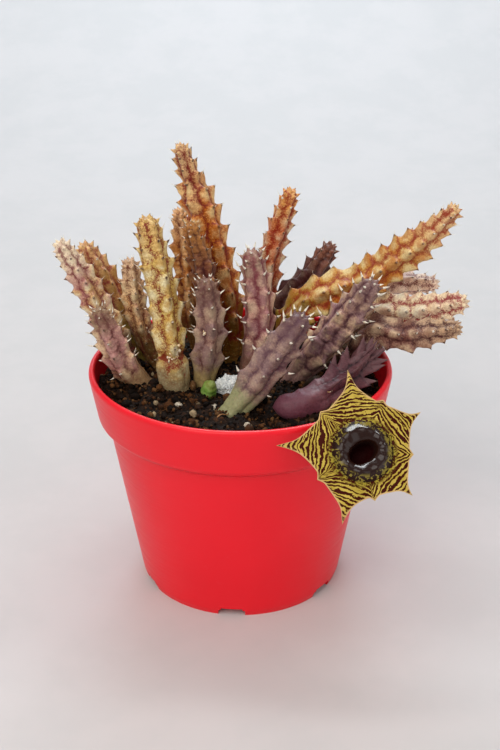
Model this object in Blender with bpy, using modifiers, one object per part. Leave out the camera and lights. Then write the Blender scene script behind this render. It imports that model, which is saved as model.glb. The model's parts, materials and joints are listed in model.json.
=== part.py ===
"""Potted huernia: leafless five-ribbed stems and one striped flower in a plastic nursery pot.

Metres, +Z up, and the plant's front faces -Y. The shapes are laid out in millimetres around the
pot's axis, from the pot's foot up. MM turns them into metres, and PLACE then moves them all so
that the middle of the whole plant's box is the origin.
"""
import math
import random

import bmesh
import bpy
import numpy as np
from mathutils import Vector, noise

MM = 0.001
PLACE = (-7.6, 8.0)
GAP = 0.3
SIDES = 40

# Pot, radius and height
POT_H = 83.0
RIM_R = 52.5
COLLAR_R = 49.9
COLLAR_Z = 66.5
BODY_R = 46.3
BODY_Z = 63.6
FOOT_R = 36.5
FOOT_Z = 7.0
FLOOR_Z = 6.3
WALL = 1.5
LIP = 2.3
NOTCH_W = 9.4
NOTCH_H = 5.6
NOTCH_ANGLES = (-95, -154, -36, 25, 85, 145)
DRAIN_R = 3.5
DRAIN_RING_R = 20.0

# Soil
SOIL_Z = 75.4
BURIED = 6.0

# Stems: girth is the radius over the ribs, tip the share of it left at the end, tooth the
# length of a tooth past the rib, pinch the share of the length where growth once paused,
# twist in degrees, then the path in x, y, z from the soil to the tip.
STEMS = {
    "stem_left_pink": (4.5, 0.62, 2.0, None, 10, "D39C86",
                       ((-37.2, 8.6, 75), (-45, 5, 94), (-52, 2, 111), (-59, -2, 126))),
    "stem_left_tan": (4.6, 0.62, 2.0, None, 30, "D9B07A",
                      ((-35, 20, 75), (-40.8, 19, 87.5), (-46.2, 16, 104.5), (-53, 12, 120.3))),
    "stem_left_front": (4.8, 0.6, 1.9, None, 0, "B4838A",
                        ((-33, -1.4, 75), (-39.6, -5, 84), (-43.9, -9, 97), (-46.4, -12, 106.3))),
    "stem_left_small": (4.0, 0.66, 1.7, None, 15, "C3A585",
                        ((-26, 10.5, 75), (-33.4, 12, 86.5), (-37.2, 11, 101.5), (-37.8, 9, 115.6))),
    "stem_yellow": (5.3, 0.7, 2.6, 0.22, 20, "D8B45C",
                    ((-22.6, -5.2, 75), (-23.9, -4.4, 89.7), (-26.2, -4, 109.5), (-30, -7, 135.2))),
    "stem_tall": (5.4, 0.55, 3.0, 0.84, 25, "CE8A3A",
                  ((-3, 22, 75), (-4.6, 22, 93), (-12.2, 18, 128), (-19.4, 10, 155.5))),
    "stem_tall_twin": (4.3, 0.55, 2.5, None, 0, "C0813F",
                       ((-15.5, 30, 75), (-18, 31, 90), (-20, 31, 110.5), (-21.5, 30, 127))),
    "stem_brown": (3.8, 0.55, 2.1, None, 40, "9E6F5C",
                   ((-9.5, 9.5, 75), (-11.7, 9, 103), (-13.4, 8, 117.5), (-16.4, 5, 130))),
    "stem_front_grey": (4.9, 0.66, 2.3, None, 12, "A28A93",
                        ((-13, -0.5, 75), (-10.7, -3.5, 95), (-10.8, -6, 105.5), (-11.2, -8, 114.6))),
    "stem_centre": (5.0, 0.7, 2.2, None, 30, "A9827F",
                    ((3, 11, 75), (6.1, 9, 91), (6, 6, 106), (4, 3, 120.5))),
    "stem_back_red": (4.0, 0.66, 2.2, None, 8, "C4663C",
                      ((8, 40, 75), (10, 42, 103.5), (13.9, 43, 117.5), (17.7, 42, 130.5))),
    "stem_back_dark": (4.4, 0.6, 2.3, None, 20, "6A4038",
                       ((8, 29, 75), (16.5, 32, 94), (24.5, 33, 101.5), (31.8, 33, 113))),
    "stem_long": (5.9, 0.42, 2.6, 0.52, 35, "CF9A48",
                  ((13, 20, 75), (21, 18, 95), (31.3, 15, 104), (45.4, 11, 111.8),
                   (58.8, 7, 123.2), (70.5, 2, 137))),
    "stem_front_slant": (5.8, 0.62, 2.0, None, 5, "A78A8D",
                         ((-2.3, -24, 76.5), (4.3, -22.5, 85), (11.5, -22, 96.5), (19.2, -24, 108.5))),
    "stem_mid_slant": (5.6, 0.62, 2.4, None, 22, "8C717A",
                       ((19, 5, 75), (28.8, 0, 90.5), (34.8, -4, 100), (43, -9, 114.5))),
    "stem_lying": (5.0, 0.6, 4.2, None, 18, "7E5265",
                   ((11.9, -27, 79.4), (19.8, -26, 79.6), (28.5, -22.5, 82.8),
                    (35.4, -18.5, 86.2), (41.6, -15.8, 91.8))),
    "stem_right_upper": (4.3, 0.6, 1.9, None, 0, "BE9A8E",
                         ((27, 29.5, 75), (37.5, 29, 91.5), (51.5, 27.5, 99.8), (58.3, 24.5, 103),
                          (67.5, 20, 104.6))),
    "stem_right_big": (5.9, 0.6, 2.1, None, 28, "D9B6A4",
                       ((30, 19, 75), (45.7, 15, 95), (60.5, 7.5, 99.2), (74.2, 0, 105.4))),
    "stem_right_lower": (5.0, 0.6, 2.0, None, 10, "B5938A",
                         ((36, 7, 75), (46.3, 1, 94), (56.5, -5.5, 95.6), (70.9, -12, 101))),
    "shoot_green": (2.8, 0.6, 0, None, 0, "7C9A3C",
                    ((-10.4, -12, 76.3), (-10.6, -13, 79), (-9.8, -14.2, 81.5))),
    "shoot_brown": (1.7, 0.5, 0, None, 0, "7A5E4C",
                    ((22.4, -5.5, 75), (24.2, -6.5, 78.5), (26.8, -7.5, 81))),
}
LYING = "stem_lying"
# The yellow stem stands on an older joint, as thick as itself
SWOLLEN = "stem_yellow"
SHOOTS = ("shoot_green", "shoot_brown")
RIBS = 5
RIB_PHASE = (0.0, 0.4, 0.8, 0.2, 0.6)
# Mean distance between the teeth of a rib; they stand closer towards the tip, by CROWDING
TOOTH_STEP = 6.5
WIDE_STEPS = {"stem_tall": 7.5, "stem_yellow": 8.0, "stem_front_grey": 8.0, "stem_centre": 8.0,
              "stem_front_slant": 7.5, "stem_mid_slant": 7.2}
CROWDING = 1.4
BARE = 9.0
CROWN = 1.5
TOOTH_ROOM = 1.1

# Flower: centre, then the way it faces, and its outline as angle and reach, tip after notch
FLOWER_C = (38.3, -54.5, 77.5)
FLOWER_UP = 40.0
FLOWER_TURN = 8.0
LOBES = ((30, 23.6), (93, 27.0), (171, 26.8), (248.5, 23.5), (314, 20.5))
POINTS = ((62, 18.6), (131, 18.2), (207, 16.9), (278.5, 15.7), (353, 16.2))
POINT_TOOTH = 2.0
# Outline points from a small point towards a lobe's tip, as shares of the way. The lobe's reach
# grows by the sum of share * way ** power, so its last third is slender
STATIONS = (0.0, 0.16, 0.45, 0.68, 0.86, 1.0)
LOBE_CURVE = ((0.45, 14), (0.55, 2.4))
THROAT_R = 5.0
RING_R = 9.8
RING_H = 2.2
PETAL_T = 0.9
TUBE_DEPTH = 7.0

# Small things bedded in the soil: place, half sizes, height of the middle over the soil, seed
LUMPS = {
    "white_clump": ((-4.0, -6.6), (5.4, 3.8, 3.6), 1.8, 4),
    "perlite_middle": ((-9.0, -22.0), (2.0, 1.3, 1.1), 0.3, 7),
    "perlite_left": ((-20.7, -21.0), (1.6, 1.2, 1.0), 0.3, 9),
    "perlite_front": ((2.3, -35.0), (1.5, 1.1, 1.0), 0.3, 12),
}


def clear_scene():
    for obj in list(bpy.data.objects):
        bpy.data.objects.remove(obj)


def linear(hex_colour):
    parts = [int(hex_colour[i:i + 2], 16) / 255 for i in (0, 2, 4)]
    return [c / 12.92 if c < 0.04045 else ((c + 0.055) / 1.055) ** 2.4 for c in parts] + [1.0]


def material(name, hex_colour, roughness):
    mat = bpy.data.materials.new(name)
    mat.use_nodes = True
    shader = mat.node_tree.nodes["Principled BSDF"]
    shader.inputs["Base Color"].default_value = linear(hex_colour)
    shader.inputs["Roughness"].default_value = roughness
    shader.inputs["Metallic"].default_value = 0.0
    return mat


def add_object(name, mesh, group, mat=None):
    obj = bpy.data.objects.new(name, mesh)
    group.objects.link(obj)
    if mat:
        mesh.materials.append(mat)
    return obj


def mesh_from_rings(name, rings, first=None, last=None):
    """Closed body through rings of equal length (mm), each end closed to a point."""
    bm = bmesh.new()
    rows = [[bm.verts.new(Vector(p) * MM) for p in ring] for ring in rings]
    count = len(rows[0])
    for low, high in zip(rows, rows[1:]):
        for j in range(count):
            k = (j + 1) % count
            bm.faces.new((low[j], low[k], high[k], high[j]))
    for row, tip in ((rows[0], first), (rows[-1], last)):
        middle = sum((v.co for v in row), Vector()) / count if tip is None else Vector(tip) * MM
        end = bm.verts.new(middle)
        for j in range(count):
            bm.faces.new((row[j], row[(j + 1) % count], end))
    bmesh.ops.triangulate(bm, faces=bm.faces)
    bmesh.ops.recalc_face_normals(bm, faces=bm.faces)
    mesh = bpy.data.meshes.new(name)
    bm.to_mesh(mesh)
    bm.free()
    return mesh


def smooth(mesh, angle=35):
    mesh.shade_smooth()
    mesh.set_sharp_from_angle(angle=math.radians(angle))


def cut(obj, group):
    mod = obj.modifiers.new("cuts", "BOOLEAN")
    mod.operation = "DIFFERENCE"
    mod.operand_type = "COLLECTION"
    mod.collection = group
    mod.solver = "EXACT"


def hide_cutter(obj):
    obj.hide_render = True
    obj.display_type = "WIRE"


def pot_inner(z):
    """Radius of the pot's inside at height z."""
    heights = (FLOOR_Z + WALL, FOOT_Z + 3.5, BODY_Z + 1.0, COLLAR_Z + 1.0, POT_H - 2.2)
    radii = (FOOT_R - 3.0, FOOT_R - 1.0, BODY_R - WALL, COLLAR_R - WALL, RIM_R - LIP)
    return float(np.interp(z, heights, radii))


def build_pot(group, cutters):
    floor_top = FLOOR_Z + WALL
    profile = [(0.0, floor_top), (pot_inner(floor_top), floor_top)]
    turns = (FOOT_Z + 3.5, BODY_Z + 1.0, COLLAR_Z + 1.0, POT_H - 2.2)
    profile += [(pot_inner(z), z) for z in turns]
    profile += [(RIM_R - LIP + 0.15, POT_H - 0.7), (RIM_R - LIP + 0.7, POT_H)]
    profile += [(RIM_R - 0.8, POT_H), (RIM_R - 0.2, POT_H - 0.5), (RIM_R, POT_H - 1.4)]
    profile += [(COLLAR_R, COLLAR_Z + 0.6), (COLLAR_R - 0.5, COLLAR_Z - 0.4)]
    profile += [(BODY_R + 0.3, BODY_Z + 0.4), (BODY_R, BODY_Z - 0.3)]
    profile += [(FOOT_R, FOOT_Z), (FOOT_R - 0.4, 4.8), (FOOT_R - 1.5, 2.0)]
    profile += [(FOOT_R - 2.9, 0.5), (FOOT_R - 3.9, 0.0), (FOOT_R - 5.9, 0.0)]
    profile += [(FOOT_R - 6.1, FLOOR_Z)]
    profile += [(0.0, FLOOR_Z)]
    bm = bmesh.new()
    verts = [bm.verts.new((r * MM, 0, z * MM)) for r, z in profile]
    for a, b in zip(verts, verts[1:]):
        bm.edges.new((a, b))
    mesh = bpy.data.meshes.new("pot")
    bm.to_mesh(mesh)
    bm.free()
    pot = add_object("pot", mesh, group, material("red plastic", "E0303A", 0.38))
    turn = pot.modifiers.new("turn", "SCREW")
    turn.steps = SIDES
    turn.render_steps = SIDES
    turn.use_merge_vertices = True
    turn.merge_threshold = 0.00001
    for i, degrees in enumerate(NOTCH_ANGLES):
        angle = math.radians(degrees)
        reach = FOOT_R - 2.3
        middle = (reach * math.cos(angle) * MM, reach * math.sin(angle) * MM, 0)
        bpy.ops.mesh.primitive_cube_add(size=1, location=middle, rotation=(0, 0, angle))
        block = bpy.context.active_object
        block.name = f"cut_notch_{i}"
        block.scale = (9 * MM, NOTCH_W * MM, 2 * NOTCH_H * MM)
        turned = angle + math.radians(30)
        place = (DRAIN_RING_R * math.cos(turned) * MM, DRAIN_RING_R * math.sin(turned) * MM, 7 * MM)
        bpy.ops.mesh.primitive_cylinder_add(vertices=12, radius=DRAIN_R * MM, depth=8 * MM,
                                            location=place)
        hole = bpy.context.active_object
        hole.name = f"cut_drain_{i}"
        for obj in (block, hole):
            for home in list(obj.users_collection):
                home.objects.unlink(obj)
            cutters.objects.link(obj)
            hide_cutter(obj)
    cut(pot, cutters)
    return pot


def soil_height(x, y):
    """Soil level in mm: higher at the front left, lower at the back right, and lumpy."""
    slope = 75.4 - 0.035 * x - 0.045 * y
    lumps = noise.noise(Vector((x * 0.09, y * 0.09, 3.1))) * 2.2
    crumbs = noise.noise(Vector((x * 0.3, y * 0.3, 8.7))) * 1.0
    return slope + lumps + crumbs


def build_soil(group, cutters):
    rings = []
    for share in (0.2, 0.45, 0.7, 0.88, 1.0):
        ring = []
        for j in range(SIDES):
            angle = 2 * math.pi * j / SIDES
            radius = share * (pot_inner(SOIL_Z) - GAP - 0.1)
            x = radius * math.cos(angle)
            y = radius * math.sin(angle)
            z = soil_height(x, y)
            if share == 1.0:
                edge = (pot_inner(z) - GAP) / radius
                x = x * edge
                y = y * edge
            ring.append((x, y, z))
        rings.append(ring)
    side = ((pot_inner(COLLAR_Z + 1.2) - GAP - 0.2, COLLAR_Z + 1.2),
            (BODY_R - WALL - GAP - 0.1, BODY_Z + 1.4),
            (FOOT_R - 3.5, FLOOR_Z + WALL + GAP))
    for radius, z in side:
        rings.append([(radius * math.cos(2 * math.pi * j / SIDES),
                       radius * math.sin(2 * math.pi * j / SIDES), z) for j in range(SIDES)])
    mesh = mesh_from_rings("soil", rings, first=(0, 0, soil_height(0, 0)))
    soil = add_object("soil", mesh, group, material("potting soil", "2A211B", 0.95))
    cut(soil, cutters)
    return soil


def curve_point(points, t):
    """Catmull-Rom curve through the points, t from 0 to len - 1."""
    i = min(int(t), len(points) - 2)
    u = t - i
    b, c = points[i], points[i + 1]
    a = points[i - 1] if i else b * 2 - c
    d = points[i + 2] if i + 2 < len(points) else c * 2 - b
    return 0.5 * (b * 2 + (c - a) * u + (a * 2 - b * 5 + c * 4 - d) * u * u
                  + (b * 3 - a - c * 3 + d) * u ** 3)


def centre_line(name):
    """Even samples of a stem's middle line with arc length from the soil, and side vectors."""
    path = [Vector(p) for p in STEMS[name][6]]
    fine = [curve_point(path, i * (len(path) - 1) / 80) for i in range(81)]
    if name != LYING:
        start = (fine[1] - fine[0]).normalized()
        buried = 4.0 if name in SHOOTS else BURIED
        fine.insert(0, fine[0] - start * buried)
    arc = [0.0]
    for a, b in zip(fine, fine[1:]):
        arc.append(arc[-1] + (b - a).length)
    zero = 0.0 if name == LYING else arc[1]
    sides = []
    along = (fine[1] - fine[0]).normalized()
    side = along.orthogonal().normalized()
    for i in range(len(fine)):
        ahead = fine[min(i + 1, len(fine) - 1)]
        behind = fine[max(i - 1, 0)]
        turned = (ahead - behind).normalized()
        side = along.rotation_difference(turned) @ side
        side = (side - turned * side.dot(turned)).normalized()
        along = turned
        sides.append(np.array((*side, *turned.cross(side), *turned)))
    return np.array(arc) - zero, np.array([tuple(p) for p in fine]), np.array(sides)


def at_arc(line, s):
    arc, middle, sides = line
    point = [np.interp(s, arc, middle[:, i]) for i in range(3)]
    frame = [np.interp(s, arc, sides[:, i]) for i in range(9)]
    return Vector(point), Vector(frame[:3]), Vector(frame[3:6]), Vector(frame[6:])


def girth(name, s, length):
    """Radius over the ribs at arc length s."""
    radius, tip, _, pinch, _, _, _ = STEMS[name]
    f = max(s, 0) / length
    if name == LYING:
        share = np.interp(s, (0, 1.2, 3.5, 9, length * 0.75, length), (0.42, 0.7, 0.9, 1, 0.95, tip))
    elif name in SHOOTS:
        share = np.interp(f, (0, 0.5, 0.85, 1), (0.85, 1, 0.85, tip))
    elif name == SWOLLEN:
        share = np.interp(f, (0, 0.1, 0.3, 0.78, 1), (0.95, 1.08, 1, 0.93, tip))
    else:
        share = np.interp(f, (0, 0.1, 0.3, 0.78, 1), (0.74, 0.82, 1, 0.93, tip))
    if pinch:
        share *= 1 - 0.22 * math.exp(-((f - pinch) / 0.035) ** 2)
        if name == "stem_tall" and f > pinch:
            share *= 0.78
    return radius * share


def tooth_length(name, s, length):
    full = STEMS[name][2]
    if name == LYING:
        return full * float(np.interp(s / length, (0, 0.45, 0.75, 1), (0.0, 0.15, 1.0, 0.8)))
    return full * float(np.interp(s, (BARE, BARE + 5, length * 0.8, length), (0.4, 1.0, 1.0, 0.6)))


def free_length(name, tip_from, direction, wanted, lines):
    """Tooth length that still leaves room to the other stems."""
    best = wanted
    tip = np.array(tip_from + direction * wanted)
    for other, (arc, middle, _) in lines.items():
        if other == name:
            continue
        reach = np.linalg.norm(middle - tip, axis=1)
        k = int(reach.argmin())
        room = reach[k] - girth(other, arc[k], arc[-1])
        best = min(best, wanted - (TOOTH_ROOM + 0.4 * STEMS[other][2] - room))
    return max(best, 0.0)


def stem_rings(name, lines, extra=0.0, limit=None):
    """Rings of ten points, rib and groove in turn, with a row at, before and after each tooth."""
    line = lines[name]
    arc = line[0]
    length = float(arc[-1])
    twist = math.radians(STEMS[name][4])
    teeth = STEMS[name][2] > 0
    count = max(2, round(length / WIDE_STEPS.get(name, TOOTH_STEP)))
    low = float(arc[0]) - extra
    rows = []
    if name == LYING:
        rows += [(s, None) for s in (0.0, 1.2, 3.5)]
    else:
        rows += [(low, None), (0.0, None)]
    last = 3 * count
    for i in range(1, last + 1):
        rows.append((None, i))
    if name in SHOOTS:
        rows = [(low, None), (0.0, None)] + [(length * f, None) for f in (0.4, 0.75, 0.92, 1.0)]
    rings = []
    for s_row, i in rows:
        ring = []
        for j in range(2 * RIBS):
            rib = j // 2
            if s_row is not None:
                s = s_row
            else:
                phase = RIB_PHASE[rib]
                if j % 2:
                    phase = 0.5 * (phase + RIB_PHASE[(rib + 1) % RIBS])
                step = (0.0, 0.24, 0.76)[i % 3] + i // 3
                ramp = min(1.0, i / 4, (last - i) / 3)
                u = min((step + (phase - 0.5) * ramp) / count, 1.0)
                s = length * (1 - (1 - u) ** CROWDING)
                if name == LYING:
                    s = 4.0 + s * (length - 4.0) / length
            middle, side, up, along = at_arc(line, max(s, low))
            if s < arc[0]:
                middle = middle - along * (arc[0] - s)
            angle = twist + math.pi * j / RIBS + 0.25 * s / 30
            out = side * math.cos(angle) + up * math.sin(angle)
            radius = girth(name, s, length)
            if i == last:
                radius *= 0.55 if j % 2 else 0.75
            if j % 2:
                radius *= 0.80 if teeth else 0.93
                point = middle + out * (radius + extra)
            else:
                tooth = 0.0
                toothed = i is not None and teeth and i % 3 == 0 and i < last
                if toothed and (s > BARE or name == LYING):
                    wanted = tooth_length(name, s, length)
                    lean = (out + along * (0.35 + 0.8 * (s / length) ** 6)).normalized()
                    tooth = free_length(name, middle + out * radius, lean, wanted, lines)
                    point = middle + out * radius + lean * (tooth + extra)
                else:
                    point = middle + out * (radius * 0.95 + extra)
                if i == last and teeth:
                    point = point + along * CROWN
            ring.append(point)
        rings.append(ring)
        if limit is not None and s_row is None and s > limit:
            break
    middle, side, up, along = at_arc(line, length)
    if limit is None:
        end = middle + along * (0.05 * girth(name, length, length) + extra)
    else:
        end = None
    first = None
    if name == LYING:
        start, _, _, along = at_arc(line, 0.0)
        first = start - along * (1.3 + extra)
    return rings, first, end


def build_stems(group, soil_cutters):
    lines = {name: centre_line(name) for name in STEMS}
    for name, spec in STEMS.items():
        rings, first, end = stem_rings(name, lines)
        mesh = mesh_from_rings(name, rings, first, end)
        smooth(mesh, 60)
        add_object(name, mesh, group, material(name.replace("_", " "), spec[5], 0.55))
        limit = None if name == LYING or name in SHOOTS else BARE
        rings, first, end = stem_rings(name, lines, extra=GAP, limit=limit)
        cutter = add_object("cut_" + name, mesh_from_rings("cut_" + name, rings, first, end),
                            soil_cutters)
        hide_cutter(cutter)


def flower_frame():
    up = math.radians(FLOWER_UP)
    turn = math.radians(FLOWER_TURN)
    normal = Vector((math.cos(up) * math.sin(turn), -math.cos(up) * math.cos(turn), math.sin(up)))
    across = Vector((math.cos(turn), math.sin(turn), 0))
    return Vector(FLOWER_C), across, normal.cross(across), normal


def flower_outline():
    """Angle and reach around the corolla: a long tip, a hollow edge, a small point, and so on."""
    marks = sorted([(a, r, True) for a, r in LOBES] + [(a, r, False) for a, r in POINTS])
    outline = []
    for i, (a0, r0, long0) in enumerate(marks):
        a1, r1, _ = marks[(i + 1) % len(marks)]
        a1 = a1 + 360 if a1 < a0 else a1
        ways = STATIONS[:0:-1] if long0 else STATIONS[:-1]
        for to_tip in ways:
            u = 1 - to_tip if long0 else to_tip
            angle = math.radians(a0 + (a1 - a0) * u)
            tip_r, point_r = (r0, r1) if long0 else (r1, r0)
            base = point_r - POINT_TOOTH
            slender = sum(share * to_tip ** power for share, power in LOBE_CURVE)
            reach = base + (tip_r - base) * slender
            reach += POINT_TOOTH * max(0.0, 1 - to_tip / STATIONS[1])
            outline.append((angle, reach))
    return outline


def bend_back(reach):
    return -0.022 * max(0.0, reach - RING_R) ** 1.6


def build_corolla(group):
    middle, across, above, normal = flower_frame()
    outline = flower_outline()
    rings = []

    def ring(radius_of, height_of):
        points = []
        for angle, reach in outline:
            r = radius_of(reach)
            flat = across * math.cos(angle) + above * math.sin(angle)
            points.append(middle + flat * r + normal * height_of(r))
        rings.append(points)

    front = ((2.6, -TUBE_DEPTH + 0.2), (THROAT_R - 0.6, -TUBE_DEPTH + 2.2), (THROAT_R - 0.1, -1.2),
             (THROAT_R + 0.3, 1.0), (THROAT_R + 1.6, RING_H), (RING_R - 1.6, RING_H - 0.7),
             (RING_R, 0.2))
    for radius, height in front:
        ring(lambda reach, r=radius: r, lambda r, h=height: h)
    for share in (0.3, 0.62, 1.0):
        ring(lambda reach, t=share: RING_R + (reach - RING_R) * t, bend_back)
    for share in (0.985, 0.55):
        ring(lambda reach, t=share: RING_R + (reach - RING_R) * t,
             lambda r: bend_back(r) - PETAL_T)
    back = ((RING_R - 0.4, -1.1), (THROAT_R + 2.4, -2.2), (THROAT_R + 1.2, -4.5),
            (THROAT_R + 0.3, -TUBE_DEPTH), (2.8, -TUBE_DEPTH - 1.4))
    for radius, height in back:
        ring(lambda reach, r=radius: r, lambda r, h=height: h)
    mesh = mesh_from_rings("corolla", rings)
    smooth(mesh, 50)
    return add_object("corolla", mesh, group, material("striped petal", "C9A63F", 0.4))


def build_pedicel(group, soil_cutters):
    """Flower stalk with its calyx cup, over the rim from the soil to the back of the flower."""
    middle, _, _, normal = flower_frame()
    back = middle - normal * (TUBE_DEPTH + 1.4 + GAP)
    path = [back, back - normal * 1.6, back - normal * 3.2, Vector((38.0, -42.2, 69.5)),
            Vector((37.5, -41.8, 77)), Vector((36.2, -39.9, 84.6)), Vector((34.2, -36.5, 86.4)),
            Vector((31.5, -32.8, 83.5)), Vector((29.4, -30.2, 77.5)), Vector((28.6, -29.2, 70))]
    radii = (2.4, 2.6, 1.5, 1.1, 1.1, 1.1, 1.1, 1.15, 1.25, 1.3)

    def tube(extra):
        rings = []
        along = -normal
        side = along.orthogonal().normalized()
        for i in range(2 * len(path) - 1):
            t = i / 2
            here = curve_point(path, t)
            ahead = curve_point(path, min(t + 0.05, len(path) - 1.0))
            behind = curve_point(path, max(t - 0.05, 0.0))
            turned = (ahead - behind).normalized()
            side = along.rotation_difference(turned) @ side
            along = turned
            up = along.cross(side)
            radius = float(np.interp(t, range(len(radii)), radii)) + extra
            if extra and here.z > 83:
                continue
            if i == 2 * len(path) - 2:
                here = here + along * extra
            rings.append([here + side * radius * math.cos(2 * math.pi * k / 8)
                          + up * radius * math.sin(2 * math.pi * k / 8) for k in range(8)])
        return rings

    mesh = mesh_from_rings("pedicel", tube(0.0))
    smooth(mesh, 50)
    stalk = add_object("pedicel", mesh, group, material("flower stalk", "8B7A4A", 0.5))
    low = [ring for ring in tube(GAP) if sum((p.z for p in ring)) / 8 < 82]
    low = low[-5:]
    cutter = add_object("cut_pedicel", mesh_from_rings("cut_pedicel", low), soil_cutters)
    hide_cutter(cutter)
    return stalk


def build_lump(name, spec, group, soil_cutters, mat):
    """Rough pale lump bedded in the soil."""
    place, half, lift, seed = spec
    middle = (place[0], place[1], soil_height(*place) + lift)
    rng = random.Random(seed)
    turn = rng.uniform(0, math.pi)
    for label, extra, where in ((name, 0.0, group), ("cut_" + name, GAP + 0.05, soil_cutters)):
        bm = bmesh.new()
        bmesh.ops.create_icosphere(bm, subdivisions=2, radius=1.0)
        for v in bm.verts:
            out = v.co.normalized()
            bump = 1 + 0.22 * noise.noise(out * 2.3 + Vector((seed, 0, 0)))
            x = out.x * (half[0] * bump + extra)
            y = out.y * (half[1] * bump + extra)
            z = out.z * (half[2] * bump + extra)
            v.co.x = (middle[0] + x * math.cos(turn) - y * math.sin(turn)) * MM
            v.co.y = (middle[1] + x * math.sin(turn) + y * math.cos(turn)) * MM
            v.co.z = (middle[2] + z) * MM
        mesh = bpy.data.meshes.new(label)
        bm.to_mesh(mesh)
        bm.free()
        obj = add_object(label, mesh, where, None if extra else mat)
        if extra:
            hide_cutter(obj)


def main():
    clear_scene()
    scene = bpy.context.scene.collection
    plant = bpy.data.collections.new("potted_huernia")
    pot_cutters = bpy.data.collections.new("pot_cutters")
    soil_cutters = bpy.data.collections.new("soil_cutters")
    for group in (plant, pot_cutters, soil_cutters):
        scene.children.link(group)
    build_pot(plant, pot_cutters)
    build_stems(plant, soil_cutters)
    build_corolla(plant)
    build_pedicel(plant, soil_cutters)
    crystals = material("white crystals", "E6E8E8", 0.8)
    grain = material("perlite", "D9D2C6", 0.9)
    for name, spec in LUMPS.items():
        mat = crystals if name == "white_clump" else grain
        build_lump(name, spec, plant, soil_cutters, mat)
    build_soil(plant, soil_cutters)
    for obj in bpy.data.objects:
        obj.location.x += PLACE[0] * MM
        obj.location.y += PLACE[1] * MM


main()
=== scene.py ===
import json
import math
import random
from collections import namedtuple

import bmesh
import bpy
import numpy as np
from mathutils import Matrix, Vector, noise

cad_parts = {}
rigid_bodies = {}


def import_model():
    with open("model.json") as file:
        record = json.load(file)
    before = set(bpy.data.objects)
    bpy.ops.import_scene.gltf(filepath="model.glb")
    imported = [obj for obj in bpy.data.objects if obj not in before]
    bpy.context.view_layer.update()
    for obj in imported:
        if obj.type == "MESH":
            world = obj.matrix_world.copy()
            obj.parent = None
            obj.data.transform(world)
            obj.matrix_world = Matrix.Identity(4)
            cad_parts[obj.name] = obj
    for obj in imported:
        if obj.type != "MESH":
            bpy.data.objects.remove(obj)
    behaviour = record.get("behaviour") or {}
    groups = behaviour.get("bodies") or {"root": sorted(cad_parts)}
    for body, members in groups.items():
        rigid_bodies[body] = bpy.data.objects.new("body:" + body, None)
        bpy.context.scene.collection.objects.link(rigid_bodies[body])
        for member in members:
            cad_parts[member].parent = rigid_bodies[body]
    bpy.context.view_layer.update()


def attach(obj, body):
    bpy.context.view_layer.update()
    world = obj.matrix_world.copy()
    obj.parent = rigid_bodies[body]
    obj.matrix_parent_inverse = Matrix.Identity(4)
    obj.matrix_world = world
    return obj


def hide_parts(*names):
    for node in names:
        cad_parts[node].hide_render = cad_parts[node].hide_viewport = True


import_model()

# Everything is laid out in millimetres around the pot's axis, then moved by PLACE as the solids are
MM = 0.001
PLACE = (-7.6, 8.0)

# Pot, as in the solids
POT_H = 83.0
RIM_R = 52.5
COLLAR_R = 49.9
COLLAR_Z = 66.5
BODY_R = 46.3
BODY_Z = 63.6
FOOT_R = 36.5
FOOT_Z = 7.0
FLOOR_Z = 6.3
WALL = 1.5
LIP = 2.3
NOTCH_W = 9.4
NOTCH_H = 5.6
NOTCH_ANGLES = (-95, -154, -36, 25, 85, 145)
DRAIN_R = 3.5
DRAIN_RING_R = 20.0
POT_SIDES = 160
POT_ROUNDING = 0.6
GAP = 0.3
SOIL_Z = 75.4

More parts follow.
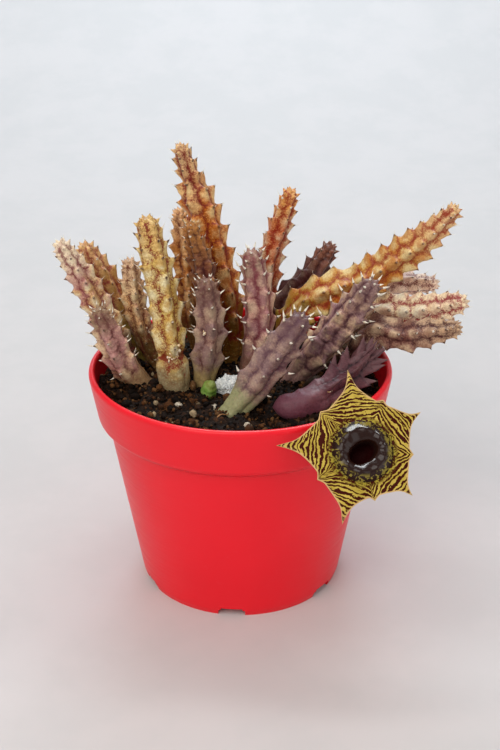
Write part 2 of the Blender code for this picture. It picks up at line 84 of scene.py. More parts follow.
# Stems, as in the solids: radius over the ribs, share of it left at the tip, tooth length, share of
# the length where growth once paused, twist in degrees, path from the soil to the tip
Stem = namedtuple("Stem", "radius tip tooth pause twist path")
STEMS = {
    "stem_left_pink": (4.5, 0.62, 2.0, None, 10,
        ((-37.2, 8.6, 75), (-45, 5, 94), (-52, 2, 111), (-59, -2, 126))),
    "stem_left_tan": (4.6, 0.62, 2.0, None, 30,
        ((-35, 20, 75), (-40.8, 19, 87.5), (-46.2, 16, 104.5), (-53, 12, 120.3))),
    "stem_left_front": (4.8, 0.6, 1.9, None, 0,
        ((-33, -1.4, 75), (-39.6, -5, 84), (-43.9, -9, 97), (-46.4, -12, 106.3))),
    "stem_left_small": (4.0, 0.66, 1.7, None, 15,
        ((-26, 10.5, 75), (-33.4, 12, 86.5), (-37.2, 11, 101.5), (-37.8, 9, 115.6))),
    "stem_yellow": (5.3, 0.7, 2.6, 0.22, 20,
        ((-22.6, -5.2, 75), (-23.9, -4.4, 89.7), (-26.2, -4, 109.5), (-30, -7, 135.2))),
    "stem_tall": (5.4, 0.55, 3.0, 0.84, 25,
        ((-3, 22, 75), (-4.6, 22, 93), (-12.2, 18, 128), (-19.4, 10, 155.5))),
    "stem_tall_twin": (4.3, 0.55, 2.5, None, 0,
        ((-15.5, 30, 75), (-18, 31, 90), (-20, 31, 110.5), (-21.5, 30, 127))),
    "stem_brown": (3.8, 0.55, 2.1, None, 40,
        ((-9.5, 9.5, 75), (-11.7, 9, 103), (-13.4, 8, 117.5), (-16.4, 5, 130))),
    "stem_front_grey": (4.9, 0.66, 2.3, None, 12,
        ((-13, -0.5, 75), (-10.7, -3.5, 95), (-10.8, -6, 105.5), (-11.2, -8, 114.6))),
    "stem_centre": (5.0, 0.7, 2.2, None, 30,
        ((3, 11, 75), (6.1, 9, 91), (6, 6, 106), (4, 3, 120.5))),
    "stem_back_red": (4.0, 0.66, 2.2, None, 8,
        ((8, 40, 75), (10, 42, 103.5), (13.9, 43, 117.5), (17.7, 42, 130.5))),
    "stem_back_dark": (4.4, 0.6, 2.3, None, 20,
        ((8, 29, 75), (16.5, 32, 94), (24.5, 33, 101.5), (31.8, 33, 113))),
    "stem_long": (5.9, 0.42, 2.6, 0.52, 35,
        ((13, 20, 75), (21, 18, 95), (31.3, 15, 104), (45.4, 11, 111.8),
         (58.8, 7, 123.2), (70.5, 2, 137))),
    "stem_front_slant": (5.8, 0.62, 2.0, None, 5,
        ((-2.3, -24, 76.5), (4.3, -22.5, 85), (11.5, -22, 96.5), (19.2, -24, 108.5))),
    "stem_mid_slant": (5.6, 0.62, 2.4, None, 22,
        ((19, 5, 75), (28.8, 0, 90.5), (34.8, -4, 100), (43, -9, 114.5))),
    "stem_lying": (5.0, 0.6, 4.2, None, 18,
        ((11.9, -27, 79.4), (19.8, -26, 79.6), (28.5, -22.5, 82.8),
         (35.4, -18.5, 86.2), (41.6, -15.8, 91.8))),
    "stem_right_upper": (4.3, 0.6, 1.9, None, 0,
        ((27, 29.5, 75), (37.5, 29, 91.5), (51.5, 27.5, 99.8), (58.3, 24.5, 103),
         (67.5, 20, 104.6))),
    "stem_right_big": (5.9, 0.6, 2.1, None, 28,
        ((30, 19, 75), (45.7, 15, 95), (60.5, 7.5, 99.2), (74.2, 0, 105.4))),
    "stem_right_lower": (5.0, 0.6, 2.0, None, 10,
        ((36, 7, 75), (46.3, 1, 94), (56.5, -5.5, 95.6), (70.9, -12, 101))),
    "shoot_green": (2.8, 0.6, 0, None, 0,
        ((-10.4, -12, 76.3), (-10.6, -13, 79), (-9.8, -14.2, 81.5))),
    "shoot_brown": (1.7, 0.5, 0, None, 0,
        ((22.4, -5.5, 75), (24.2, -6.5, 78.5), (26.8, -7.5, 81))),
}
STEMS = {name: Stem(*row) for name, row in STEMS.items()}
LYING = "stem_lying"
# The yellow stem stands on an older joint, as thick as itself
SWOLLEN = "stem_yellow"
SHOOTS = ("shoot_green", "shoot_brown")
RIBS = 5
RIB_PHASE = (0.0, 0.4, 0.8, 0.2, 0.6)
# Mean distance between the teeth of a rib; they stand closer towards the tip, by CROWDING
TOOTH_STEP = 6.5
WIDE_STEPS = {"stem_tall": 7.5, "stem_yellow": 8.0, "stem_front_grey": 8.0, "stem_centre": 8.0,
              "stem_front_slant": 7.5, "stem_mid_slant": 7.2}
CROWDING = 1.4
# Sharpness of the rise to a tooth; the smoother stems' teeth stand up more suddenly
TOOTH_RISE = {"stem_yellow": 3.4, "stem_front_grey": 2.5, "stem_centre": 2.3,
              "stem_front_slant": 2.5, "stem_mid_slant": 2.3, "stem_left_front": 2.3}
# Scabs of dried sap: share of the stem's length, turn to the right of the viewer in degrees, spread
# along and round the stem in mm, number of beads and their size in mm
SCABS = {
    "stem_yellow": (0.25, 14, 2.8, 2.6, 26, 0.6),
    "stem_front_grey": (0.6, -16, 1.1, 0.7, 9, 0.42),
    "stem_lying": (0.5, -10, 0.9, 1.3, 12, 0.36),
    "stem_left_small": (0.45, 10, 1.6, 1.4, 12, 0.3),
}
# Length above the soil that has no teeth, depth of a stem and of a shoot in the soil, and the room
# that a tooth leaves to other stems
BARE = 9.0
BURIED = 6.0
BURIED_SHOOT = 4.0
TOOTH_ROOM = 1.1
# Share of the radius that is missing where growth paused, and in the grooves between the ribs
PAUSE_DEPTH = 0.22
RIB_DEPTH = 0.125
# Points round a stem for each rib, and rows of points for each tooth
COLUMNS = 18
ROWS_A_TOOTH = 19

# Skin of each stem: palette of body, pale, second hue, groove, foot, top and tooth tip, how far up the
# foot colour reaches, spine length and radius, strength of the creases, of the veins, of the flush.
# The foot colour is the base's own colour darkened by painted shade where the stems crowd near the soil;
# the top colour is the tip's own colour, on most stems lightened by a painted highlight from above
Skin = namedtuple("Skin", "palette reach spine thick crease veins flush")
SKINS = {
    "stem_left_pink": ("DAAE72 FCF0C8 C08480 782E34 4E361A FEEED0 4A281E", 0.32, 1.5, 0.09, 0.8, 0.6, 0.55),
    "stem_left_tan": ("E0A66C EED090 C49C54 8E3430 B8A44A E6BE84 4E2C1C", 0.45, 1.6, 0.09, 0.9, 0.7, 0.6),
    "stem_left_front": ("D6AC88 F0DAB0 BC8484 6A3836 A6825A 70583C 46332A", 0.3, 2.0, 0.26, 0.6, 0.3, 0.6),
    "stem_left_small": ("E6B47C FAF0C4 C09078 6C3426 6C5020 DCBA96 4A3022", 0.42, 1.5, 0.12, 0.8, 0.8, 0.3),
    "stem_yellow": ("D6B862 FAF0C2 D0A64C 7E2A16 8A7A58 DCB46C 44180C", 0.17, 1.8, 0.1, 0.8, 1.0, 0.3),
    "stem_tall": ("D88430 FEE0A0 C0660A 7A1E16 785208 EACA94 34140A", 0.3, 1.6, 0.1, 0.9, 0.9, 0.7),
    "stem_tall_twin": ("C4823E FAD49A B66C18 5C1E10 644620 F2C492 3A1A0E", 0.3, 1.6, 0.1, 0.8, 0.5, 0.5),
    "stem_brown": ("865034 C2905E 6E3A34 481A18 241408 C48640 3A1C14", 0.3, 1.3, 0.13, 0.7, 0.3, 0.5),
    "stem_front_grey": ("B08878 CCB496 8E6E6E 5E3636 AC945E 6C4A38 6A4E4A", 0.25, 1.7, 0.3, 0.35, 0.3, 0.5),
    "stem_centre": ("D8A894 F2D0B0 B27C82 7E3C44 8E6250 806456 745048", 0.2, 2.3, 0.42, 0.5, 0.4, 0.85),
    "stem_back_red": ("CEA074 FEF0CE D26E32 92280E DA9A88 F0B25C 522014", 0.25, 1.5, 0.1, 1.4, 0.9, 0.8),
    "stem_back_dark": ("54282A 78645A 3E1A1C 340E0C 68402E 925E4A 2E140E", 0.35, 1.6, 0.12, 0.7, 0.4, 0.7),
    "stem_long": ("D09C42 EEDCA2 C0741C 94361C A08420 EECC98 542616", 0.3, 1.5, 0.09, 1.3, 0.9, 0.7),
    "stem_front_slant": ("9A7A6E B89C8A 7C5E60 5A3A44 9A9C6E 604044 624648",
        0.22, 2.5, 0.46, 0.35, 0.3, 0.65),
    "stem_mid_slant": ("B48A76 D8BA96 906A74 543238 9C7670 866860 5A4042", 0.22, 2.6, 0.46, 0.5, 0.4, 0.75),
    "stem_lying": ("5C2A34 7A4E54 4A1E28 260E16 6C3E4A 6C4A4C 2A1218", 0.35, 1.0, 0.1, 0.2, 0.1, 0.5),
    "stem_right_upper": ("E6C8B8 FEF6E8 C89C9A 763A3A 9A786A FCE2C4 4C2C26", 0.3, 1.6, 0.1, 1.9, 0.9, 0.35),
    "stem_right_big": ("FCE0AC FEF8DC E8BA98 94383A 5A4030 F8E4BC 502E24", 0.3, 1.6, 0.1, 1.9, 1.0, 0.5),
    "stem_right_lower": ("966858 E0C29E 784A40 441A1C 22120F CEAA84 42241E", 0.3, 1.6, 0.1, 1.8, 0.8, 0.5),
    "shoot_green": ("749C3E 8CA858 5E8C2A 4E6E24 6C7838 88904A 6C7434", 0.3, 0.0, 0.0, 0.0, 0.0, 0.2),
    "shoot_brown": ("20140E 38281C 1A100C 281A14 48342A 443428 3A281E", 0.3, 0.0, 0.0, 0.0, 0.0, 0.2),
}
SKINS = {name: Skin(*row) for name, row in SKINS.items()}

# Flower, as in the solids, but the small points stand out less
FLOWER_C = (38.3, -54.5, 77.5)
FLOWER_UP = 40.0
FLOWER_TURN = 8.0
LOBES = ((30, 23.6), (93, 27.0), (171, 26.8), (248.5, 23.5), (314, 20.5))
POINTS = ((62, 18.6), (131, 18.2), (207, 16.9), (278.5, 15.7), (353, 16.2))
POINT_TOOTH = 1.3
POINT_WIDTH = 0.2
# A lobe's reach grows by the sum of share * way ** power, so its last third is slender
LOBE_CURVE = ((0.45, 14), (0.55, 2.4))
THROAT_R = 5.0
RING_R = 9.8
RING_H = 2.2
PETAL_T = 0.9
TUBE_DEPTH = 7.0
# Share by which the mouth is squashed, and how far that direction leans from upright in degrees
MOUTH_SQUASH = 0.36
MOUTH_LEAN = 20
# Spacing of the maroon bars at a lobe's middle
BAR_STEP = 1.5
# Rows of points over the ring and over the petals
RING_ROWS = 48
PETAL_ROWS = 40

# Small things bedded in the soil, as in the solids: place, half sizes, height of the middle over the
# soil, seed
LUMPS = {
    "white_clump": ((-4.0, -6.6), (5.4, 3.8, 3.6), 1.8, 4),
    "perlite_middle": ((-9.0, -22.0), (2.0, 1.3, 1.1), 0.3, 7),
    "perlite_left": ((-20.7, -21.0), (1.6, 1.2, 1.0), 0.3, 9),
    "perlite_front": ((2.3, -35.0), (1.5, 1.1, 1.0), 0.3, 12),
}
# Loose crumbs and peat fibres on the soil, and grains on the white clump
CRUMBS = 4600
FIBRES = 260
CRYSTALS = 900

# Node settings used over and over: a range with soft ends, and a mix of two colours
SOFT = {"interpolation_type": "SMOOTHSTEP"}
COLOURS = {"data_type": "RGBA", "out": 2}


# Small helpers


def linear(hex_colour):
    """Linear colour of an sRGB hex value."""
    parts = [int(hex_colour[i:i + 2], 16) / 255 for i in (0, 2, 4)]
    return [c / 12.92 if c < 0.04045 else ((c + 0.055) / 1.055) ** 2.4 for c in parts] + [1.0]


def set_inputs(tree, node, inputs):
    """Gives each input of a node its value, or links it to another node's output."""
    for key, value in inputs.items():
        if isinstance(value, bpy.types.NodeSocket):
            tree.links.new(value, node.inputs[key])
        else:
            node.inputs[key].default_value = value


def add_node(tree, kind, inputs=None, out=0, **settings):
    """Adds one shader node with its settings, values and links, and gives its output to link on."""
    made = tree.nodes.new("ShaderNode" + kind)
    for key, value in settings.items():
        setattr(made, key, value)
    set_inputs(tree, made, inputs or {})
    return made.outputs[out]


def grain(points, size, seed):
    """Smooth random value from -1 to 1 at each point, in lumps about size mm across."""
    p = np.asarray(points, float) / size + 1000.0
    cell = np.floor(p).astype(np.int64)
    f = p - cell
    f = f * f * (3 - 2 * f)
    total = np.zeros(p.shape[:-1])
    for corner in range(8):
        step = np.array([(corner >> k) & 1 for k in range(3)])
        c = cell + step
        h = (c[..., 0] * 73856093) ^ (c[..., 1] * 19349663) ^ (c[..., 2] * 83492791)
        h = h + seed * 7919
        h = (h ^ (h >> 13)) * 1274126177
        value = ((h ^ (h >> 16)) & 0xFFFF) / 32767.5 - 1
        total += value * np.prod(np.where(step == 1, f, 1 - f), axis=-1)
    return total


def round_grain():
    """Corners and faces of a small round grain, 1 mm in radius."""
    shape = bmesh.new()
    bmesh.ops.create_icosphere(shape, subdivisions=1, radius=1.0)
    corners = np.array([v.co[:] for v in shape.verts])
    sides = np.array([[v.index for v in f.verts] for f in shape.faces])
    shape.free()
    return corners, sides


def ease(value, low, high):
    """0 below low, 1 above high, smooth between."""
    t = np.clip((value - low) / (high - low), 0, 1)
    return t * t * (3 - 2 * t)


class Body:
    """Points, faces, material numbers and point values of one piece while it is being made."""

    def __init__(self, *values):
        self.points = []
        self.faces = []
        self.finish = []
        self.values = {key: [] for key in values}
        self.count = 0

    def add_points(self, points, values):
        """Adds loose points with their values, and gives the number of the first."""
        points = np.asarray(points, float).reshape(-1, 3)
        first = self.count
        self.points.append(points)
        self.count += len(points)
        for key, kept in self.values.items():
            given = values.get(key, 0.0)
            kept.append(np.broadcast_to(np.asarray(given, float).reshape(-1), (len(points),)))
        return first

    def add_rings(self, grid, finish=0, first=None, last=None, **values):
        """A tube through rings of equal length, its ends closed to a point where one is given."""
        rows, cols = grid.shape[:2]
        start = self.add_points(grid, values)
        ring = np.arange(cols)
        after = (ring + 1) % cols
        for i in range(rows - 1):
            a = start + i * cols
            b = a + cols
            quads = np.stack((a + ring, a + after, b + after, b + ring), axis=1)
            self.faces += quads.tolist()
        made = (rows - 1) * cols
        for row, tip, turned in ((0, first, True), (rows - 1, last, False)):
            if tip is None:
                continue
            at_row = {}
            for key, given in values.items():
                flat = np.asarray(given, float).reshape(-1)
                at_row[key] = flat[row * cols] if len(flat) > 1 else flat[0]
            end = self.add_points([tip], at_row)
            a = start + row * cols
            fan = np.stack((a + ring, a + after, np.full(cols, end)), axis=1)
            if turned:
                fan = fan[:, ::-1]
            self.faces += fan.tolist()
            made += cols
        self.finish += [finish] * made

    def add_shape(self, points, sides, finish=0, **values):
        """A closed shape, from its points and the point numbers of its faces."""
        start = self.add_points(points, values)
        self.faces += (sides + start).tolist()
        self.finish += [finish] * len(sides)

    def done(self, name, finishes):
        """The piece as an object, in metres and in the shared frame, riding on the plant."""
        points = np.concatenate(self.points)
        points = (points + np.array((*PLACE, 0.0))) * MM
        mesh = bpy.data.meshes.new(name)
        mesh.from_pydata(points.tolist(), [], self.faces)
        mesh.polygons.foreach_set("material_index", np.array(self.finish, np.int32))
        mesh.polygons.foreach_set("use_smooth", np.full(len(self.faces), True))
        for key, kept in self.values.items():
            layer = mesh.attributes.new(key, "FLOAT", "POINT")
            layer.data.foreach_set("value", np.concatenate(kept).astype(np.float32))
        for finish in finishes:
            mesh.materials.append(finish)
        mesh.update()
        obj = bpy.data.objects.new(name, mesh)
        bpy.context.scene.collection.objects.link(obj)
        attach(obj, "root")
        return obj


# Materials


def start_material(name, roughness):
    """A new material, its tree, its shader, and the place on the object in millimetres."""
    mat = bpy.data.materials.new(name)
    mat.use_nodes = True
    tree = mat.node_tree
    shader = tree.nodes["Principled BSDF"]
    shader.inputs["Roughness"].default_value = roughness
    coords = add_node(tree, "TexCoord", out="Object")
    place = add_node(tree, "VectorMath", {0: coords, 1: (1000, 1000, 1000)}, operation="MULTIPLY")
    return mat, tree, shader, place


def paint(tree, base, ranges, layers, products=()):
    """Shares, each eased over its value's range, and the colour of the tints laid over a base by them.

    A range is a value, where it starts and ends, and the share at both ends. A product is the name of
    a share and the two that it multiplies.
    """
    share = {}
    for key, (value, start, end, first, last) in ranges.items():
        share[key] = add_node(tree, "MapRange", {0: value, 1: start, 2: end, 3: first, 4: last}, **SOFT)
    for both, one, other in products:
        share[both] = add_node(tree, "Math", {0: share[one], 1: share[other]}, operation="MULTIPLY")
    tone = linear(base)
    for key, tint in layers:
        tone = add_node(tree, "Mix", {0: share[key], 6: tone, 7: linear(tint)}, **COLOURS)
    return share, tone


def finish_material(tree, shader, inputs, reliefs=()):
    """Sets the shader, and lays reliefs over each other: height, depth in mm and strength of each."""
    normal = {}
    for height, depth, strength in reliefs:
        relief = {"Height": height, "Distance": depth * MM, "Strength": strength, **normal}
        normal = {"Normal": add_node(tree, "Bump", relief)}
    set_inputs(tree, shader, {**inputs, **normal})


def succulent_skin(name, look):
    """Waxy succulent skin: soft broad highlights, pale ridges, dark ragged grooves, freckles, veins."""
    body, pale, hue, groove, foot, top, dark = look.palette.split()
    mat, tree, shader, place = start_material(name.replace("_", " ") + " waxy skin", 0.5)
    # Patches 8 mm across, blotches of 5 mm, clouds of 2 mm and grain under 1 mm, as on the real skin
    patch, blotch, cloud, fine = [
        add_node(tree, "TexNoise", {"Vector": place, "Scale": scale, "Detail": 4.0, "Roughness": 0.62})
        for scale in (0.12, 0.2, 0.5, 1.5)]
    border, along, tooth, cushion = [
        add_node(tree, "Attribute", out="Fac", attribute_name=key)
        for key in ("border", "along", "tooth", "cushion")]
    # The cushions' borders in mm, made ragged by the clouds and the grain
    ragged = add_node(tree, "Math", {0: cloud, 1: 3.0, 2: border}, operation="MULTIPLY_ADD")
    ragged = add_node(tree, "Math", {0: fine, 1: 1.2, 2: ragged}, operation="MULTIPLY_ADD")
    low = add_node(tree, "Math", {0: blotch, 1: 0.5, 2: along}, operation="MULTIPLY_ADD")
    # Coarse veins and fine ones run where a noise passes its middle value
    veins = []
    for scale, detail, rough, bend in ((0.38, 4.0, 0.6, 0.8), (0.85, 3.0, 0.55, 0.6)):
        field = add_node(tree, "TexNoise", {"Vector": place, "Scale": scale, "Detail": detail,
                                            "Roughness": rough, "Distortion": bend})
        middle = add_node(tree, "Math", {0: field, 1: 0.5}, operation="SUBTRACT")
        veins.append(add_node(tree, "Math", {0: middle}, operation="ABSOLUTE"))
    spots = add_node(tree, "TexVoronoi", {"Vector": place, "Scale": 0.8})
    ranges = {
        "hue": (patch, 0.44, 0.58, 0.0, 0.8),
        "pale": (cushion, 0.3, 1.0, 0.0, 0.45),
        "bright": (ragged, 3.1, 5.0, 0.0, 0.8),
        # Foot: own base colour darkened by painted shade near the soil. Top: own tip colour, mostly
        # lightened by a painted highlight
        "foot": (low, look.reach + 0.12, look.reach + 0.38, 0.95, 0.0),
        "top": (along, 0.72, 0.98, 0.0, 0.75),
        "flush": (ragged, 2.0, 2.9 + look.flush, look.flush, 0.0),
        "line": (ragged, 1.9, 2.55, 0.95, 0.0),
        "gate": (blotch, 0.38, 0.54, 0.25, 1.0),
        "branch": (veins[0], 0.011, 0.042, look.veins, 0.0),
        "twig": (veins[1], 0.011, 0.044, look.veins, 0.0),
        "where": (ragged, 2.3, 4.2, 1.0, 0.15),
        "dots": (spots, 0.1, 0.22, 0.6, 0.0),
        "sparse": (fine, 0.5, 0.62, 0.0, 1.0),
        "shade": (fine, 0.34, 0.56, 0.24, 0.0),
        "glint": (fine, 0.54, 0.7, 0.0, 0.25),
        "tooth": (tooth, 0.74, 0.92, 0.0, 0.8),
        "rough": (fine, 0.3, 0.75, 0.42, 0.62),
    }
    products = (("line", "line", "gate"), ("branch", "branch", "where"), ("twig", "twig", "where"),
                ("dots", "dots", "sparse"))
    layers = (("pale", pale), ("bright", pale), ("hue", hue), ("foot", foot), ("top", top),
              ("glint", pale), ("shade", groove), ("flush", groove), ("line", groove),
              ("branch", groove), ("twig", groove), ("dots", dark), ("tooth", dark))
    share, tone = paint(tree, body, ranges, layers, products)
    finish_material(tree, shader, {
        "Base Color": tone, "Roughness": share["rough"], "IOR": 1.42, "Specular IOR Level": 0.3,
        "Coat Weight": 0.06, "Coat Roughness": 0.28}, ((cloud, 0.5, 0.6), (fine, 0.2, 0.45)))
    return mat


def two_tone(name, roughness, first, second, per_mm, depth=0.0, low=0.38, high=0.62):
    """A finish of two tones in clouds per_mm to the millimetre, with relief depth mm deep."""
    mat, tree, shader, place = start_material(name, roughness)
    cloud = add_node(tree, "TexNoise", {"Vector": place, "Scale": per_mm, "Detail": 4.0,
                                        "Roughness": 0.65})
    _, tone = paint(tree, first, {"cloud": (cloud, low, high, 0.0, 1.0)}, (("cloud", second),))
    finish_material(tree, shader, {"Base Color": tone}, ((cloud, depth, 0.8),) if depth else ())
    return mat


def dry_tip(name, colour):
    """Dried tooth tip: dull and darker than the skin."""
    return two_tone(name.replace("_", " ") + " dried tooth tip", 0.65, colour, "8A6A50", 1.6)


def horn_spine():
    """Cream horn: ivory, slightly glossy, browner in places."""
    return two_tone("cream horn spine", 0.4, "F0E8D6", "C8B28C", 1.2, low=0.48, high=0.75)


def dried_sap():
    """Dried sap: hard, glossy, cream to amber."""
    return two_tone("dried sap", 0.15, "F6EAD0", "CC9C58", 0.9)


def crystal_crust():
    """Crystallised white crust: matt and chalky, with a darker, faintly blue painted shade in the hollows.
    """
    # The grey-blue CCD0D0 lies where the relief is low: painted shade in the hollows
    return two_tone("white crystal crust", 0.6, "CCD0D0", "ECEDEA", 1.1, 0.2)


def perlite_grain():
    """Expanded perlite: off-white foam stone stained by the soil."""
    return two_tone("stained perlite", 0.85, "8A7458", "D8CEBC", 1.3, 0.3)


def root_fibre():
    """Dry rootlet: dull orange-brown fibre."""
    return two_tone("dry root fibre", 0.7, "A8743C", "6A4424", 0.9)


def stalk_skin():
    """Flower stalk: smooth green-brown skin flushed with red."""
    return two_tone("flower stalk skin", 0.45, "8C8A4C", "7A3E38", 0.5, 0.1)


def paper_sweep():
    """Matt pale paper sweep under and behind the plant."""
    return two_tone("pale paper sweep", 0.9, "CCC8C7", "C8C5C4", 0.02)


def moulded_plastic():
    """Polypropylene, injection moulded: even red, satin, with faint flow marks and scuffs."""
    mat, tree, shader, place = start_material("red moulded polypropylene", 0.36)
    drift, dust = [add_node(tree, "TexNoise", {"Vector": place, "Scale": scale, "Detail": 4.0})
                   for scale in (0.02, 0.6)]
    # Flow marks run round the pot, about 1 mm high
    stretched = add_node(tree, "VectorMath", {0: place, 1: (0.05, 0.05, 1.2)}, operation="MULTIPLY")
    marks = add_node(tree, "TexNoise", {"Vector": stretched, "Scale": 1.0, "Detail": 4.0})
    ranges = {
        "even": (drift, 0.35, 0.65, 0.0, 1.0),
        "worn": (dust, 0.6, 0.8, 0.0, 0.1),
        "rough": (marks, 0.3, 0.7, 0.32, 0.42),
    }
    share, tone = paint(tree, "EE1828", ranges, (("even", "E81424"), ("worn", "EE5A60")))
    finish_material(tree, shader, {"Base Color": tone, "Roughness": share["rough"], "IOR": 1.49,
                                   "Specular IOR Level": 0.3}, ((marks, 0.03, 0.3),))
    return mat


def potting_mix():
    """Peaty potting mix: nearly black, matt, with brown and sandy crumbs of 0.5 to 2 mm."""
    mat, tree, shader, place = start_material("dark peaty potting mix", 0.85)
    crumb = add_node(tree, "Attribute", out="Fac", attribute_name="crumb")
    lump, grit = [add_node(tree, "TexNoise", {"Vector": place, "Scale": scale, "Detail": 4.0,
                                              "Roughness": 0.68}) for scale in (0.3, 1.5)]
    mixed = add_node(tree, "Math", {0: grit, 1: 0.8, 2: crumb}, operation="MULTIPLY_ADD")
    # The hollows of the relief are darker, and wet enough to glisten
    ranges = {
        "peat": (mixed, 0.5, 0.7, 0.0, 1.0),
        "bark": (mixed, 0.7, 0.95, 0.0, 1.0),
        "sand": (mixed, 1.0, 1.25, 0.0, 1.0),
        "chalk": (mixed, 1.35, 1.6, 0.0, 1.0),
        "hollow_dark": (lump, 0.36, 0.56, 0.6, 0.0),
        "wet": (lump, 0.34, 0.48, 0.3, 0.85),
    }
    layers = (("peat", "24140A"), ("bark", "543218"), ("sand", "6E4C2C"), ("chalk", "B09A78"),
              ("hollow_dark", "140A05"))
    share, tone = paint(tree, "0E0602", ranges, layers)
    finish_material(tree, shader, {"Base Color": tone, "Roughness": share["wet"],
                                   "Specular IOR Level": 0.12}, ((lump, 1.0, 0.7), (grit, 0.5, 0.9)))
    return mat


def petal_skin():
    """Succulent petal: straw yellow with maroon bars between the small points, cream margin."""
    mat, tree, shader, place = start_material("barred petal skin", 0.55)
    bar, ring, edge, back, east, north = [
        add_node(tree, "Attribute", out="Fac", attribute_name=key)
        for key in ("bar", "ring", "edge", "back", "east", "north")]
    wander, jitter, shred = [
        add_node(tree, "TexNoise", {"Vector": place, "Scale": scale, "Detail": 3.0, "Roughness": 0.6})
        for scale in (0.22, 0.6, 1.3)]
    # This noise is stretched along the bars: about 3 mm along them and under 1 mm across them
    across = add_node(tree, "Math", {0: bar, 1: 1.1}, operation="MULTIPLY")
    flow = add_node(tree, "CombineXYZ", {"X": east, "Y": north, "Z": across})
    sway, streak = [add_node(tree, "TexNoise", {"Vector": flow, "Scale": scale, "Detail": 2.0})
                    for scale in (0.5, 1.4)]
    # The bars lie BAR_STEP apart, bent, forked and broken by the noise
    turn = add_node(tree, "Math", {0: bar, 1: 2 * math.pi / BAR_STEP}, operation="MULTIPLY")
    for bent, much in ((sway, 13.0), (jitter, 8.0)):
        turn = add_node(tree, "Math", {0: bent, 1: much, 2: turn}, operation="MULTIPLY_ADD")
    wave = add_node(tree, "Math", {0: turn}, operation="SINE")
    for torn, much in ((streak, 1.8), (shred, 0.8)):
        wave = add_node(tree, "Math", {0: torn, 1: much, 2: wave}, operation="MULTIPLY_ADD")
    blots = add_node(tree, "Math", {0: jitter, 1: shred}, operation="ADD")
    ranges = {
        "straw": (wander, 0.35, 0.65, 0.0, 1.0),
        "rim": (edge, 0.2, 0.9, 0.8, 0.0),
        "bars": (wave, 1.04, 1.28, 0.0, 1.0),
        "clear": (edge, 0.25, 0.45, 0.0, 1.0),
        "net": (blots, 1.01, 1.08, 1.0, 0.0),
        "near": (ring, RING_R + 0.2, RING_R + 2.0, 1.0, 0.0),
        "plain": (back, 0.0, 1.0, 0.0, 1.0),
    }
    layers = (("straw", "AE943A"), ("near", "9C8C30"), ("rim", "CCA674"))
    share, tone = paint(tree, "C4AA4C", ranges, layers, (("bars", "bars", "clear"),))
    # Near the ring the maroon is a net instead of bars, and the underside is plain
    dark = add_node(tree, "Mix", {0: share["near"], 2: share["bars"], 3: share["net"]})
    for over, tint in ((dark, "3C0C02"), (share["plain"], "BFAA68")):
        tone = add_node(tree, "Mix", {0: over, 6: tone, 7: linear(tint)}, **COLOURS)
    finish_material(tree, shader, {"Base Color": tone, "Specular IOR Level": 0.06}, ((shred, 0.2, 0.5),))
    return mat


def ring_skin():
    """Lacquer-like annulus: smooth, dark brown to red-black, sharp highlights, olive-yellow blots."""
    mat, tree, shader, place = start_material("glossy annulus skin", 0.16)
    ring, slope = [add_node(tree, "Attribute", out="Fac", attribute_name=key)
                   for key in ("ring", "slope")]
    blot, swell = [add_node(tree, "TexNoise", {"Vector": place, "Scale": scale, "Detail": 3.0,
                                               "Distortion": 0.8}) for scale in (0.75, 0.8)]
    ranges = {
        "raised": (slope, 0.0, 0.5, 0.0, 1.0),
        "blots": (blot, 0.51, 0.55, 0.0, 1.0),
        "outer": (ring, RING_R - 2.8, RING_R - 1.2, 0.0, 1.0),
        "lip": (slope, 0.45, 0.7, 0.0, 1.0),
        "matt": (slope, 0.5, 0.9, 0.75, 0.2),
        "gloss": (slope, 0.8, 1.0, 0.0, 0.4),
    }
    share, tone = paint(tree, "280404", ranges, (("raised", "26120C"), ("blots", "84742C")),
                        (("blots", "blots", "outer"), ("blots", "blots", "lip")))
    finish_material(tree, shader, {
        "Base Color": tone, "Roughness": share["matt"], "Coat Weight": share["gloss"],
        "Coat Roughness": 0.1, "Specular IOR Level": 0.08}, ((swell, 0.4, 0.5),))
    return mat


# Stems


def curve_point(points, t):
    """Catmull-Rom curve through the points, t from 0 to len - 1."""
    i = min(int(t), len(points) - 2)
    u = t - i
    b, c = points[i], points[i + 1]
    a = points[i - 1] if i else b * 2 - c
    d = points[i + 2] if i + 2 < len(points) else c * 2 - b
    return 0.5 * (b * 2 + (c - a) * u + (a * 2 - b * 5 + c * 4 - d) * u * u
                  + (b * 3 - a - c * 3 + d) * u ** 3)


def centre_line(name):
    """Even samples of a stem's middle line with arc length from the soil, and side vectors."""
    path = [Vector(p) for p in STEMS[name].path]
    fine = [curve_point(path, i * (len(path) - 1) / 80) for i in range(81)]
    if name != LYING:
        start = (fine[1] - fine[0]).normalized()
        fine.insert(0, fine[0] - start * (BURIED_SHOOT if name in SHOOTS else BURIED))
    arc = [0.0]
    for a, b in zip(fine, fine[1:]):
        arc.append(arc[-1] + (b - a).length)
    zero = 0.0 if name == LYING else arc[1]
    sides = []
    along = (fine[1] - fine[0]).normalized()
    side = along.orthogonal().normalized()
    for i in range(len(fine)):
        ahead = fine[min(i + 1, len(fine) - 1)]
        behind = fine[max(i - 1, 0)]
        turned = (ahead - behind).normalized()
        side = along.rotation_difference(turned) @ side
        side = (side - turned * side.dot(turned)).normalized()
        along = turned
        sides.append(np.array((*side, *turned.cross(side), *turned)))
    return np.array(arc) - zero, np.array([tuple(p) for p in fine]), np.array(sides)


def at_arc(line, s):
    """Middle point, side, up and along vectors at arc lengths s."""
    arc, middle, sides = line
    point = np.stack([np.interp(s, arc, middle[:, i]) for i in range(3)], axis=-1)
    turned = np.stack([np.interp(s, arc, sides[:, i]) for i in range(9)], axis=-1)
    return point, turned[..., :3], turned[..., 3:6], turned[..., 6:]


